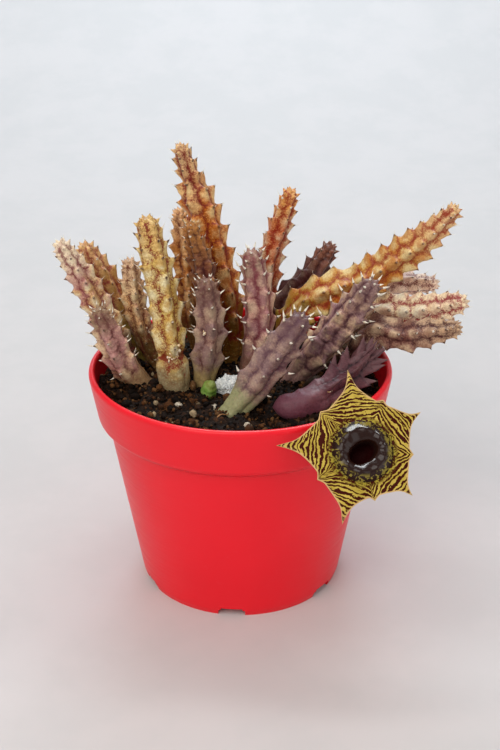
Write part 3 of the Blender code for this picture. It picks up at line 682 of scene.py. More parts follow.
def girth(name, s, length):
    """Radius over the ribs at arc length s."""
    stem = STEMS[name]
    f = np.maximum(s, 0) / length
    if name == LYING:
        share = np.interp(s, (0, 1.2, 3.5, 9, length * 0.75, length), (0.42, 0.7, 0.9, 1, 0.95, stem.tip))
    elif name in SHOOTS:
        share = np.interp(f, (0, 0.5, 0.85, 1), (0.85, 1, 0.85, stem.tip))
    else:
        foot = (0.95, 1.08) if name == SWOLLEN else (0.74, 0.82)
        share = np.interp(f, (0, 0.1, 0.3, 0.78, 1), (*foot, 1, 0.93, stem.tip))
    if stem.pause:
        share = share * (1 - PAUSE_DEPTH * np.exp(-((f - stem.pause) / 0.035) ** 2))
        if name == "stem_tall":
            share = share * (1 - PAUSE_DEPTH * ease(f, stem.pause - 0.01, stem.pause + 0.01))
    return stem.radius * share


def tooth_length(name, s, length):
    """Length of a tooth at arc length s: shorter low down and at the tip."""
    full = STEMS[name].tooth
    if name == LYING:
        return full * float(np.interp(s / length, (0, 0.45, 0.75, 1), (0.0, 0.15, 1.0, 0.8)))
    return full * float(np.interp(s, (BARE, BARE + 5, length * 0.8, length), (0.4, 1.0, 1.0, 0.6)))


def free_length(name, tip_from, direction, wanted, lines):
    """Tooth length that still leaves room to the other stems."""
    best = wanted
    tip = tip_from + direction * wanted
    for other, (arc, middle, _) in lines.items():
        if other == name:
            continue
        reach = np.linalg.norm(middle - tip, axis=1)
        k = int(reach.argmin())
        room = reach[k] - float(girth(other, arc[k], arc[-1]))
        best = min(best, wanted - (TOOTH_ROOM + 0.4 * STEMS[other].tooth - room))
    return max(best, 0.0)


def unit(v):
    return v / np.linalg.norm(v, axis=-1, keepdims=True)


def cone(body, start, direction, radius, length, finish, bend=0.0, wide=None, flat=1.0, sides=6,
         **values):
    """A slim curved cone, its root at start, flattened across the wide direction."""
    direction = unit(np.asarray(direction, float))
    wide = np.array((0.31, 0.52, 0.79)) if wide is None else wide
    side = unit(wide - direction * np.dot(wide, direction))
    up = np.cross(direction, side)
    angles = 2 * np.pi * np.arange(sides) / sides
    rings = []
    for t, share in ((0.0, 1.0), (0.3, 0.78), (0.65, 0.42), (0.9, 0.14)):
        middle = start + direction * length * t + bend * t * t
        r = radius * share
        rings.append(middle + r * (np.cos(angles)[:, None] * side
                                   + flat * np.sin(angles)[:, None] * up))
    tip = start + direction * length + bend
    body.add_rings(np.array(rings), finish, last=tip, **values)


def turned_by(name, k, s):
    """Angle of rib k round the stem at arc length s: the ribs wind slowly as they rise."""
    return math.radians(STEMS[name].twist) + 2 * np.pi * k / RIBS + 0.25 * s / 30


def tooth_arc(name, length, count, rib, row):
    """Arc length of a tooth row, rib by rib, as in the solids."""
    ramp = np.clip(np.minimum(0.75 * row, count - row), 0, 1)
    phase = np.interp(np.mod(rib, RIBS), range(RIBS + 1), RIB_PHASE + (RIB_PHASE[0],))
    u = np.clip((row + (phase - 0.5) * ramp) / count, 0, 1)
    s = length * (1 - (1 - u) ** CROWDING)
    if name == LYING:
        s = 4.0 + s * (length - 4.0) / length
    return s


def cushion_borders(name, length, count, rib, s, rng):
    """Distance to the border of each tooth's cushion in mm, whether it crosses the rib, and a draw."""
    nearest = np.full(s.shape, 9.0)
    second = np.full(s.shape, 9.0)
    owner = np.full(s.shape, -1)
    rival = np.full(s.shape, -1)
    draw = np.zeros(s.shape)
    for k in range(RIBS):
        for row in range(0, count + 1):
            at = float(tooth_arc(name, length, count, k, row))
            step = at - float(tooth_arc(name, length, count, k, row - 1)) if row else TOOTH_STEP
            step = max(step, 2.4)
            across = (rib - k - rng.uniform(-0.12, 0.12) + RIBS / 2) % RIBS - RIBS / 2
            dx = across[None, :] * 2
            ds = (s - at + 0.3 * step) / (0.5 * step * rng.uniform(0.75, 1.2))
            d = np.sqrt(dx ** 2 + ds ** 2)
            value = rng.random()
            closer = d < nearest
            second = np.where(closer, nearest, np.minimum(second, d))
            rival = np.where(closer, owner, np.where(d <= second, k, rival))
            owner = np.where(closer, k, owner)
            draw = np.where(closer, value, draw)
            nearest = np.minimum(nearest, d)
    return second - nearest, owner != rival, draw


def raise_teeth(name, lines, count, s, radius, rng):
    """How far the teeth lift each point of the skin, how near it is to one, and the teeth's tips."""
    line = lines[name]
    length = float(line[0][-1])
    cols = s.shape[1]
    rib_half = np.pi * radius / RIBS
    near = np.zeros(s.shape)
    push = np.zeros((*s.shape, 3))
    teeth = []
    for k in range(RIBS if STEMS[name].tooth else 0):
        for row in range(1, count):
            at = float(tooth_arc(name, length, count, k, row))
            if at <= BARE and name != LYING:
                continue
            middle, side, up, along = at_arc(line, at)
            turn = turned_by(name, k, at)
            outward = side * math.cos(turn) + up * math.sin(turn)
            f = at / length
            lean = unit(outward + along * (0.35 + 0.8 * f ** 6))
            base = middle + outward * float(girth(name, at, length))
            size = free_length(name, base, lean, tooth_length(name, at, length), lines)
            size = size * rng.uniform(0.9, 1.2)
            if size < 0.15:
                continue
            gone = (np.arange(cols) - k * COLUMNS + cols / 2) % cols - cols / 2
            dx = rib_half * gone[None, :] * 2 / COLUMNS
            ds = s - at
            step = at - float(tooth_arc(name, length, count, k, row - 1))
            below, above = 0.72 * step, max(0.42 * step, 1.3)
            d = np.sqrt((ds / np.where(ds < 0, below, above)) ** 2 + (dx / (0.78 * rib_half)) ** 2)
            reach = np.clip(1 - d, 0, 1)
            lift = size * reach ** TOOTH_RISE.get(name, 1.7)
            more = lift > np.linalg.norm(push, axis=-1)
            push = np.where(more[..., None], lift[..., None] * lean, push)
            near = np.maximum(near, reach)
            teeth.append((base + lean * size * 0.95, lean, along, f, size))
    return push, near, teeth


def build_stem(name, lines, horn, sap):
    """One stem's skin with cushions, creases and teeth, and the cones and spines on the teeth."""
    line = lines[name]
    length = float(line[0][-1])
    toothed = STEMS[name].tooth > 0
    number = list(STEMS).index(name)
    rng = random.Random(100 + number)
    count = max(2, round(length / WIDE_STEPS.get(name, TOOTH_STEP)))
    cols = RIBS * COLUMNS
    rib = np.arange(cols) / COLUMNS
    row = np.arange(count * ROWS_A_TOOTH + 1) / ROWS_A_TOOTH
    s = tooth_arc(name, length, count, rib[None, :], row[:, None])
    low = (0.0, 0.4, 0.8, 1.4, 2.2, 3.0) if name == LYING else (-BURIED, -3.5, -2.0, -1.0, -0.5)
    s = np.concatenate((np.repeat(np.array(low)[:, None], cols, axis=1), s))
    angle = turned_by(name, rib[None, :], s)
    middle, side, up, _ = at_arc(line, s)
    out = side * np.cos(angle)[..., None] + up * np.sin(angle)[..., None]
    radius = girth(name, s, length)
    # Rounded ribs, nearly flat sides and a narrow groove between them
    from_rib = 2 * np.abs(rib - np.round(rib))
    hollow = 0.5 - 0.5 * np.cos(np.pi * from_rib) + 0.5 * from_rib ** 5
    ribbed = RIB_DEPTH if toothed else 0.04
    grown = ease(s / length, 0.3, 0.6)
    if name == LYING:
        ribbed = 0.02 + 0.14 * grown
    if name == SWOLLEN:
        ribbed = 0.03 + 0.095 * ease(s / length, 0.12, 0.34)
    border, crossing, draw = cushion_borders(name, length, count, rib, s, rng)
    pillow = 1 - (1 - np.clip(border, 0, 1)) ** 2.4
    deep = np.where(crossing, 0.035, 0.055 * SKINS[name].crease) * radius
    if name == LYING:
        deep = deep * grown
    if not toothed:
        deep = deep * 0.5
    here = radius * (1 - ribbed * hollow[None, :]) - deep * (1 - pillow)
    skin = middle + out * here[..., None]
    # Uneven growth: broad lumps, small lumps, and drying wrinkles here and there
    lumps = 0.05 * radius * grain(skin, 6.0, number) + 0.16 * grain(skin, 2.4, number + 20)
    lumps = lumps + 0.06 * grain(skin, 1.0, number + 80)
    wrinkle = np.sin(s * 2 * np.pi / 1.9 + 3 * grain(skin, 5.0, number + 40))
    lumps = lumps + wrinkle * 0.1 * ease(grain(skin, 7.0, number + 60), -0.2, 0.6)
    skin = skin + out * lumps[..., None]
    push, near, teeth = raise_teeth(name, lines, count, s, radius, rng)
    skin = skin + push
    shown = border * 0.5 * (np.pi * radius / RIBS) + 1.2 * near
    # Near the soil the skin is plainer
    if name != LYING:
        shown = shown + 2 * (1 - ease(s, 3.0, 11.0))
    if name == SWOLLEN:
        shown = shown - 1.8 * np.exp(-((s / length - STEMS[name].pause) / 0.02) ** 2)
    if name == LYING:
        shown = shown + 3 * (1 - grown)
        near = near * ease(s / length, 0.4, 0.6)
    values = {"border": shown, "tooth": near,
              "along": np.clip(s / length, 0, 1), "cushion": draw}
    # The end rounds over into a small dome
    end_mid, _, _, end_along = at_arc(line, np.full(cols, length))
    end_r = radius[-1, 0]
    rim = skin[-1] - end_mid
    dome = []
    for t in np.arange(1, 8) / 8 * np.pi / 2:
        dome.append(end_mid + rim * math.cos(t) + end_along * (0.75 * end_r * math.sin(t)))
    for key in values:
        last = np.repeat(values[key][-1:], len(dome), axis=0)
        values[key] = np.concatenate((values[key], last))
    tip = end_mid[0] + end_along[0] * 0.76 * end_r
    start_mid, _, _, start_along = at_arc(line, float(s[0, 0]))
    first = start_mid - start_along * (1.3 if name == LYING else 0.0)
    body = Body("border", "tooth", "along", "cushion")
    body.add_rings(np.concatenate((skin, np.array(dome))), 0, first=first, last=tip, **values)
    finishes = (succulent_skin(name, SKINS[name]),)
    if toothed:
        crown_teeth(name, line, length, float(end_r), rng, teeth)
        dress_teeth(body, name, teeth, rng)
        finishes += (dry_tip(name, SKINS[name].palette.split()[-1]), horn, sap)
        if name in SCABS:
            add_scab(body, name, line, length, rng)
    obj = body.done(name + "_skin", finishes)
    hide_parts(name)


def add_scab(body, name, line, length, rng):
    """Beads of dried sap crusted on the side of a stem that faces the viewer."""
    share, turned, along, round_it, count, size = SCABS[name]
    ball, sides = round_grain()
    for _ in range(count):
        s = share * length + rng.gauss(0, 0.5) * along
        middle, _, _, ahead = at_arc(line, s)
        radius = float(girth(name, s, length))
        turn = math.radians(turned) + rng.gauss(0, 0.5) * round_it / radius
        facing = np.array((math.sin(turn), -math.cos(turn), 0.35))
        out = unit(facing - ahead * facing.dot(ahead))
        bead = ball * size * np.array([rng.uniform(0.5, 1.3) for _ in range(3)])
        body.add_shape(middle + out * 0.97 * radius + bead, sides, 3)


def crown_teeth(name, line, length, radius, rng, teeth):
    """Two rings of small teeth round the growing tip."""
    middle, side, up, along = at_arc(line, length)
    for ring, (away, lift, ahead, size) in enumerate(((0.86, 0.1, 0.75, 1.5), (0.42, 0.62, 1.7, 1.1))):
        for k in range(RIBS):
            turn = turned_by(name, k + 0.5 * ring, length)
            turn += rng.uniform(-0.12, 0.12)
            outward = side * math.cos(turn) + up * math.sin(turn)
            root = middle + outward * radius * away + along * radius * lift
            lean = unit(outward + along * ahead)
            teeth.append((root + lean * size * 0.7, lean, along, 1.2, size))


def dress_teeth(body, name, teeth, rng):
    """Dark tips and pale spines on the teeth; the lying stem has long flat ones and no spines."""
    spine, thick = SKINS[name].spine, SKINS[name].thick
    for tip, lean, along, f, size in teeth:
        share = min(1.0, 0.45 + 0.4 * size)
        if name == LYING:
            if f > 0.5:
                root = tip - lean * (size + 0.8)
                cone(body, root, lean + 0.3 * along, 2.1, 6.4, 0, bend=along * 0.7, wide=along,
                     flat=0.4, sides=12, border=1.2, tooth=0.4, along=0.98, cushion=0.5)
                cone(body, root + unit(lean + 0.3 * along) * 5.5 + along * 0.5,
                     lean + 0.6 * along, 0.2, 1.3, 1)
            continue
        if f > 1:
            root = tip - lean * size
            cone(body, root, lean, 0.95, size * 1.5, 0, sides=8, along=0.95, tooth=0.35, cushion=0.4,
                 border=1.5)
            root = root + lean * size * 0.68
            long, wide = size * 0.93, 0.42
        else:
            root = tip - lean * size * 0.5
            long, wide = size * 0.62, 0.48 * share
        cone(body, root, lean, wide, long, 1 if rng.random() < 0.7 else 2)
        if rng.random() < 0.12:
            continue
        stray = np.array([rng.uniform(-0.3, 0.3) for _ in range(3)])
        reach = spine * rng.uniform(0.6, 1.15) * (0.75 if f > 1 else 1.0) * share
        cone(body, root + lean * long * 0.75, lean + stray, thick * share, reach, 2,
             bend=along * 0.25 * reach, sides=5)


def build_stems():
    """All stems and shoots, which share the horn of the spines and the dried sap."""
    lines = {name: centre_line(name) for name in STEMS}
    horn = horn_spine()
    sap = dried_sap()
    for name in STEMS:
        build_stem(name, lines, horn, sap)


# Pot


def pot_inner(z):
    """Radius of the pot's inside at height z."""
    heights = (FLOOR_Z + WALL, FOOT_Z + 3.5, BODY_Z + 1.0, COLLAR_Z + 1.0, POT_H - 2.2)
    radii = (FOOT_R - 3.0, FOOT_R - 1.0, BODY_R - WALL, COLLAR_R - WALL, RIM_R - LIP)
    return float(np.interp(z, heights, radii))


def round_corners(profile, size):
    """The profile with each corner cut to a small curve of three points."""
    made = [profile[0]]
    for a, b, c in zip(profile, profile[1:], profile[2:]):
        a, b, c = (np.array(p, float) for p in (a, b, c))
        cut_in = min(size, 0.4 * np.linalg.norm(a - b))
        cut_out = min(size, 0.4 * np.linalg.norm(c - b))
        p = b + unit(a - b) * cut_in
        q = b + unit(c - b) * cut_out
        for t in (0.0, 0.33, 0.67, 1.0):
            made.append(tuple((1 - t) ** 2 * p + 2 * t * (1 - t) * b + t * t * q))
    made.append(profile[-1])
    return made


def build_pot(plastic):
    """The pot turned from its profile, with its foot notched and its floor drilled."""
    floor_top = FLOOR_Z + WALL
    profile = [(0.01, floor_top), (pot_inner(floor_top), floor_top)]
    turns = (FOOT_Z + 3.5, BODY_Z + 1.0, COLLAR_Z + 1.0, POT_H - 2.2)
    profile += [(pot_inner(z), z) for z in turns]
    profile += [(RIM_R - LIP + 0.15, POT_H - 0.7), (RIM_R - LIP + 0.7, POT_H)]
    profile += [(RIM_R - 0.8, POT_H), (RIM_R - 0.2, POT_H - 0.5), (RIM_R, POT_H - 1.4)]
    profile += [(COLLAR_R, COLLAR_Z + 0.6), (COLLAR_R - 0.5, COLLAR_Z - 0.4)]
    profile += [(BODY_R + 0.3, BODY_Z + 0.4), (BODY_R, BODY_Z - 0.3)]
    profile += [(FOOT_R, FOOT_Z), (FOOT_R - 0.4, 4.8), (FOOT_R - 1.5, 2.0)]
    profile += [(FOOT_R - 2.9, 0.5), (FOOT_R - 3.9, 0.0), (FOOT_R - 5.9, 0.0)]
    profile += [(FOOT_R - 6.1, FLOOR_Z), (0.01, FLOOR_Z)]
    angles = 2 * np.pi * np.arange(POT_SIDES) / POT_SIDES
    rings = [[(r * math.cos(a), r * math.sin(a), z) for a in angles]
             for r, z in round_corners(profile, POT_ROUNDING)]
    body = Body()
    body.add_rings(np.array(rings), 0, first=(0, 0, floor_top), last=(0, 0, FLOOR_Z))
    pot = body.done("pot_shell", (plastic,))
    bm = bmesh.new()
    bm.from_mesh(pot.data)
    bmesh.ops.recalc_face_normals(bm, faces=bm.faces)
    bm.to_mesh(pot.data)
    bm.free()
    cutters = bpy.data.collections.new("pot_cutters")
    bpy.context.scene.collection.children.link(cutters)
    for degrees in NOTCH_ANGLES:
        angle = math.radians(degrees)
        turned = angle + math.radians(30)
        notch = bmesh.new()
        bmesh.ops.create_cube(notch, size=1.0)
        for v in notch.verts:
            v.co = Vector((v.co.x * 9, v.co.y * NOTCH_W, v.co.z * 2 * NOTCH_H))
        upright = [e for e in notch.edges if abs(e.verts[0].co.x - e.verts[1].co.x) > 1]
        bmesh.ops.bevel(notch, geom=upright, offset=0.9, segments=3, affect="EDGES")
        hole = bmesh.new()
        bmesh.ops.create_cone(hole, cap_ends=True, segments=32, radius1=DRAIN_R, radius2=DRAIN_R,
                              depth=8.0)
        reach = FOOT_R - 2.3
        places = ((notch, angle, (reach * math.cos(angle), reach * math.sin(angle), 0)),
                  (hole, 0.0, (DRAIN_RING_R * math.cos(turned), DRAIN_RING_R * math.sin(turned), 7)))
        for shape, turn, middle in places:
            mesh = bpy.data.meshes.new("cutter")
            shape.to_mesh(mesh)
            shape.free()
            cutter = bpy.data.objects.new("cutter", mesh)
            cutters.objects.link(cutter)
            cutter.rotation_euler.z = turn
            cutter.location = [(middle[i] + (*PLACE, 0)[i]) * MM for i in range(3)]
            cutter.scale = (MM, MM, MM)
    cut = pot.modifiers.new("notches", "BOOLEAN")
    cut.operand_type = "COLLECTION"
    cut.collection = cutters
    cut.operation = "DIFFERENCE"
    cut.solver = "EXACT"
    bpy.context.view_layer.update()
    ready = pot.evaluated_get(bpy.context.evaluated_depsgraph_get())
    mesh = bpy.data.meshes.new_from_object(ready)
    pot.modifiers.clear()
    pot.data = mesh
    for obj in list(cutters.objects):
        bpy.data.objects.remove(obj)
    bpy.data.collections.remove(cutters)
    mesh.shade_smooth()
    mesh.set_sharp_from_angle(angle=math.radians(32))
    mesh.materials.clear()
    mesh.materials.append(plastic)
    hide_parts("pot")


# Soil


def soil_height(x, y):
    """Soil level in mm, as in the solids."""
    slope = SOIL_Z - 0.035 * x - 0.045 * y
    lumps = noise.noise(Vector((x * 0.09, y * 0.09, 3.1))) * 2.2
    crumbs = noise.noise(Vector((x * 0.3, y * 0.3, 8.7))) * 1.0
    return slope + lumps + crumbs


def random_place(rng, reach):
    """A place drawn evenly within reach of the pot's axis."""
    radius = reach * math.sqrt(rng.random())
    angle = rng.uniform(0, 2 * math.pi)
    return radius * math.cos(angle), radius * math.sin(angle)


def spun(points, turn):
    """The points turned about the upright axis."""
    c, n = math.cos(turn), math.sin(turn)
    return points @ np.array(((c, n, 0), (-n, c, 0), (0, 0, 1)))


def build_soil(mix):
    """The soil's lumpy top and its sides in the pot, with loose crumbs and fibres on top."""
    rings, cols = 110, 260
    edge_r = pot_inner(SOIL_Z) - GAP
    angles = 2 * np.pi * np.arange(cols) / cols
    grid = np.zeros((rings, cols, 3))
    for i in range(rings):
        radius = edge_r * (0.02 + 0.98 * (i / (rings - 1)) ** 0.75)
        for j in range(cols):
            x = radius * math.cos(angles[j])
            y = radius * math.sin(angles[j])
            grid[i, j] = (x, y, soil_height(x, y))
    rough = 1.1 * grain(grid, 3.4, 5) + 0.6 * grain(grid, 1.5, 6) + 0.3 * grain(grid, 0.8, 7)
    grid[..., 2] += rough * 0.9
    # Hollow between the mix and the wall
    grid[-1, :, 2] -= 1.0
    tone = 0.22 + 0.25 * grain(grid, 2.0, 8)
    bottom = FLOOR_Z + WALL + GAP
    side = ((pot_inner(COLLAR_Z + 1.2) - GAP - 0.2, COLLAR_Z + 1.2),
            (BODY_R - WALL - GAP - 0.1, BODY_Z + 1.4), (FOOT_R - 3.5, bottom))
    low = np.array([[(r * math.cos(a), r * math.sin(a), z) for a in angles] for r, z in side])
    shade = np.concatenate((tone, np.full(low.shape[:2], 0.3)))
    body = Body("crumb")
    body.add_rings(np.concatenate((grid, low)), 0, first=(0, 0, soil_height(0, 0)),
                   last=(0, 0, bottom), crumb=shade)
    # Loose crumbs of bark, peat and grit lie on top
    rng = random.Random(31)
    ball, sides = round_grain()
    for _ in range(CRUMBS):
        x, y = random_place(rng, edge_r - 0.8)
        size = min(0.25 + rng.expovariate(3.6), 1.8)
        shape = ball * np.array([rng.uniform(0.6, 1.35) for _ in range(3)]) * size
        shape = shape * (1 + 0.25 * grain(ball * 2 + 50 * rng.random(), 1.0, 3))[:, None]
        shape = spun(shape, rng.uniform(0, math.pi))
        middle = (x, y, soil_height(x, y) + 0.25 * size + rng.uniform(-0.2, 0.5))
        tone = 0.95 * rng.random() ** 1.5
        if rng.random() < 0.016:
            tone = 1.3
        body.add_shape(shape + np.array(middle), sides, crumb=tone)
    # Peat fibres lie every way on the surface
    for _ in range(FIBRES):
        x, y = random_place(rng, edge_r - 3.0)
        way = rng.uniform(0, 2 * math.pi)
        lie = np.array((math.cos(way), math.sin(way), rng.uniform(-0.1, 0.3)))
        curl = np.array((rng.uniform(-1, 1), rng.uniform(-1, 1), -0.3))
        cone(body, np.array((x, y, soil_height(x, y) + 0.3)), lie, rng.uniform(0.08, 0.16),
             rng.uniform(2.0, 5.5), 0, bend=curl, sides=4, crumb=rng.choice((0.2, 0.5, 0.7)))
    soil = body.done("soil_mix", (mix,))
    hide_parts("soil")


def build_lumps(crust, perlite):
    """The white clump and the perlite, each a ball drawn out, bulged and roughened."""
    for name, (place, half, lift, seed) in LUMPS.items():
        middle = np.array((place[0], place[1], soil_height(*place) + lift))
        rng = random.Random(seed)
        turn = rng.uniform(0, math.pi)
        clump = name == "white_clump"
        shape = bmesh.new()
        bmesh.ops.create_icosphere(shape, subdivisions=6 if clump else 4, radius=1.0)
        points = []
        for v in shape.verts:
            out = v.co.normalized()
            bulge = 1 + 0.22 * noise.noise(out * 2.3 + Vector((seed, 0, 0)))
            points.append([out[i] * half[i] * bulge for i in range(3)])
        sides = np.array([[v.index for v in f.verts] for f in shape.faces])
        shape.free()
        points = np.array(points)
        step = 0.7 if clump else 0.35
        rough = step * grain(points, 1.5, seed) + 0.5 * step * grain(points, 0.6, seed + 1)
        points = spun(points + unit(points) * rough[:, None], turn) + middle
        body = Body()
        body.add_shape(points, sides)
        if clump:
            add_crystals(body, points, middle, rng)
        piece = body.done(name + "_piece", (crust if clump else perlite,))
        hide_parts(name)


def add_crystals(body, points, middle, rng):
    """Frothy grains of 0.4 to 1 mm crowded over the crust."""
    ball, sides = round_grain()
    above = [i for i in range(len(points)) if points[i][2] > middle[2] - 1.5]
    for i in rng.sample(above, CRYSTALS):
        size = rng.uniform(0.2, 0.5)
        turn = Vector((rng.gauss(0, 1), rng.gauss(0, 1), rng.gauss(0, 1)))
        turned = np.array(turn.to_track_quat("Z", "Y").to_matrix())
        grains = ball * size * np.array([rng.uniform(0.6, 1.2) for _ in range(3)])
        body.add_shape(grains @ turned.T + points[i], sides)


def build_rootlet(fibre):
    """A dry rootlet lying on the soil in front of the slanting stem."""
    points = [Vector(p) for p in ((-7.5, -32.5, 0), (-5.6, -30.6, 0.9), (-3.9, -28.2, 0.4),
                                  (-3.2, -26.0, 1.2), (-2.2, -24.6, 1.6))]
    steps = 24
    angles = 2 * np.pi * np.arange(6) / 6
    rings = []
    for i in range(steps + 1):
        t = i * (len(points) - 1) / steps
        p = curve_point(points, t)
        q = curve_point(points, min(t + 0.05, len(points) - 1.0001))
        way = np.array(q - p) if (q - p).length > 1e-6 else np.array((1.0, 1.0, 0.0))
        side = unit(np.cross(way, (0, 0, 1.0)))
        up = unit(np.cross(side, way))
        centre = np.array((p.x, p.y, soil_height(p.x, p.y) + p.z + 0.2))
        r = 0.26 - 0.1 * i / steps
        rings.append(centre + r * (np.cos(angles)[:, None] * side + np.sin(angles)[:, None] * up))
    body = Body()
    rings = np.array(rings)
    body.add_rings(rings, 0, first=rings[0].mean(axis=0), last=rings[-1].mean(axis=0))
    root = body.done("rootlet", (fibre,))


# Flower


def flower_frame():
    """Middle of the flower, and its across, upward and facing directions."""
    up = math.radians(FLOWER_UP)
    turn = math.radians(FLOWER_TURN)
    normal = np.array((math.cos(up) * math.sin(turn), -math.cos(up) * math.cos(turn), math.sin(up)))
    across = np.array((math.cos(turn), math.sin(turn), 0.0))
    return np.array(FLOWER_C), across, np.cross(normal, across), normal


def flower_outline(steps):
    """Angle, reach, share of the way from small point to lobe's middle, and angle from that middle."""
    marks = sorted([(a, r, True) for a, r in LOBES] + [(a, r, False) for a, r in POINTS])
    rows = []
    for i, (a0, r0, long0) in enumerate(marks):
        a1, r1, _ = marks[(i + 1) % len(marks)]
        a1 = a1 + 360 if a1 < a0 else a1
        for k in range(steps):
            to_tip = 1 - (1 - k / steps) ** 0.7 if not long0 else (1 - k / steps) ** 0.7
            u = 1 - to_tip if long0 else to_tip
            angle = math.radians(a0 + (a1 - a0) * u)
            tip_r, point_r = (r0, r1) if long0 else (r1, r0)
            base = point_r - POINT_TOOTH
            slender = sum(share * to_tip ** power for share, power in LOBE_CURVE)
            reach = base + (tip_r - base) * slender
            reach += POINT_TOOTH * max(0.0, 1 - to_tip / POINT_WIDTH) ** 1.3
            rows.append((angle, reach, to_tip, angle - math.radians(a0 if long0 else a1)))
    return np.array(rows).T


def bend_back(reach):
    """Height of the petals, which bend back beyond the ring."""
    return -0.022 * np.maximum(0.0, reach - RING_R) ** 1.6


def build_corolla(petal, ring_finish):
    """The flower: throat, raised ring and five lobes in one sheet, and its underside."""
    middle, across, above, normal = flower_frame()
    angle, reach, to_tip, from_lobe = flower_outline(30)
    cols = len(angle)
    front = ((2.6, -TUBE_DEPTH + 0.2), (THROAT_R - 0.6, -TUBE_DEPTH + 2.2), (THROAT_R - 0.1, -1.2),
             (THROAT_R + 0.3, 1.0), (THROAT_R + 1.6, RING_H), (RING_R - 1.6, RING_H - 0.7),
             (RING_R, 0.2))
    curve = [Vector((r, h, 0)) for r, h in front]
    rows = []
    for i in range(RING_ROWS):
        p = curve_point(curve, i * (len(curve) - 1.0001) / (RING_ROWS - 1))
        rows.append((np.full(cols, p.x), np.full(cols, p.y), 0.0))
    # The petals' upper side out to the margin, then their underside back in
    shares = 1 - (1 - np.arange(1, PETAL_ROWS + 1) / PETAL_ROWS) ** 1.25
    sheet = [(share, 0.0) for share in shares]
    sheet += [(share, 1.0) for share in (0.997, 0.985, 0.95, 0.85, 0.7, 0.5, 0.25, 0.08)]
    uneven = grain(np.stack((np.cos(angle), np.sin(angle), 0 * angle), axis=-1) * 20, 9.0, 77)
    for share, under in sheet:
        r = RING_R + (reach - RING_R) * share
        lift = 0.6 * share * uneven + 0.25 * share * to_tip
        thick = PETAL_T * (0.45 + 0.55 * (1 - share) ** 0.4) * under
        rows.append((r, bend_back(r) + lift - thick, under))
    back = ((RING_R - 0.4, -1.1), (THROAT_R + 2.4, -2.2), (THROAT_R + 1.2, -4.5),
            (THROAT_R + 0.3, -TUBE_DEPTH), (2.8, -TUBE_DEPTH - 1.4))
    rows += [(np.full(cols, r), np.full(cols, h), 1.0) for r, h in back]
    radius, height = [np.array([row[i] for row in rows]) for i in (0, 1)]
    behind = np.array([np.full(cols, row[2]) for row in rows])
    # The ring swells and sinks round the mouth, which is a little narrow, low and squashed
    ring_side = (np.arange(len(rows)) < RING_ROWS)[:, None]
    inside = ease(THROAT_R + 1.9 - radius, 0.0, 1.9) * ring_side
    swell = np.exp(-((radius - THROAT_R - 2.2) / 1.6) ** 2) * ring_side
    height = height + 0.2 * swell * np.sin(10 * angle + 1.5 * np.sin(2 * angle))
    right = radius * np.cos(angle) * (1 - 0.1 * inside)
    upward = radius * np.sin(angle) - 0.3 * inside
    lean_x, lean_y = -math.sin(math.radians(MOUTH_LEAN)), math.cos(math.radians(MOUTH_LEAN))
    over = radius * (np.cos(angle) * lean_x + np.sin(angle) * lean_y)
    right = right - MOUTH_SQUASH * inside * over * lean_x
    upward = upward - MOUTH_SQUASH * inside * over * lean_y
    grid = middle + right[..., None] * across + upward[..., None] * above + height[..., None] * normal
    # Distance to the margin, and distance out along the lobe, which the bars cross nearly straight;
    # near its tip they are pointed, and at its sides they turn out to the small points
    plan = np.stack((radius * np.cos(angle), radius * np.sin(angle)), axis=-1)
    margin = np.stack((reach * np.cos(angle), reach * np.sin(angle)), axis=-1)
    edge = np.array([np.linalg.norm(row[:, None, :] - margin[None, :, :], axis=-1).min(axis=1)
                     for row in plan])
    side_off = np.sqrt((radius * np.sin(from_lobe)) ** 2 + 0.1)
    bar = radius * np.cos(from_lobe) + 0.9 * ease(radius, 14.0, 24.0) * side_off
    bar = bar - 2.2 * (np.abs(from_lobe) / 0.63) ** 5
    slope = np.clip((height + 3.5) / 5.0, 0, 1)
    body = Body("bar", "ring", "edge", "back", "slope", "east", "north")
    east, north = (np.broadcast_to(3.5 * way, radius.shape) for way in (np.cos(angle), np.sin(angle)))
    body.add_rings(grid, 0, first=grid[0].mean(axis=0), last=grid[-1].mean(axis=0), bar=bar,
                   ring=radius, edge=edge, back=behind, slope=slope, east=east, north=north)
    # The ring's finish covers its own rows and the bottom of the throat, the first of the closed ends
    finish = np.array(body.finish)
    finish[:(RING_ROWS - 1) * cols] = 1
    finish[(len(rows) - 1) * cols:len(rows) * cols] = 1
    body.finish = finish.tolist()
    flower = body.done("corolla_petals", (petal, ring_finish))
    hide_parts("corolla")


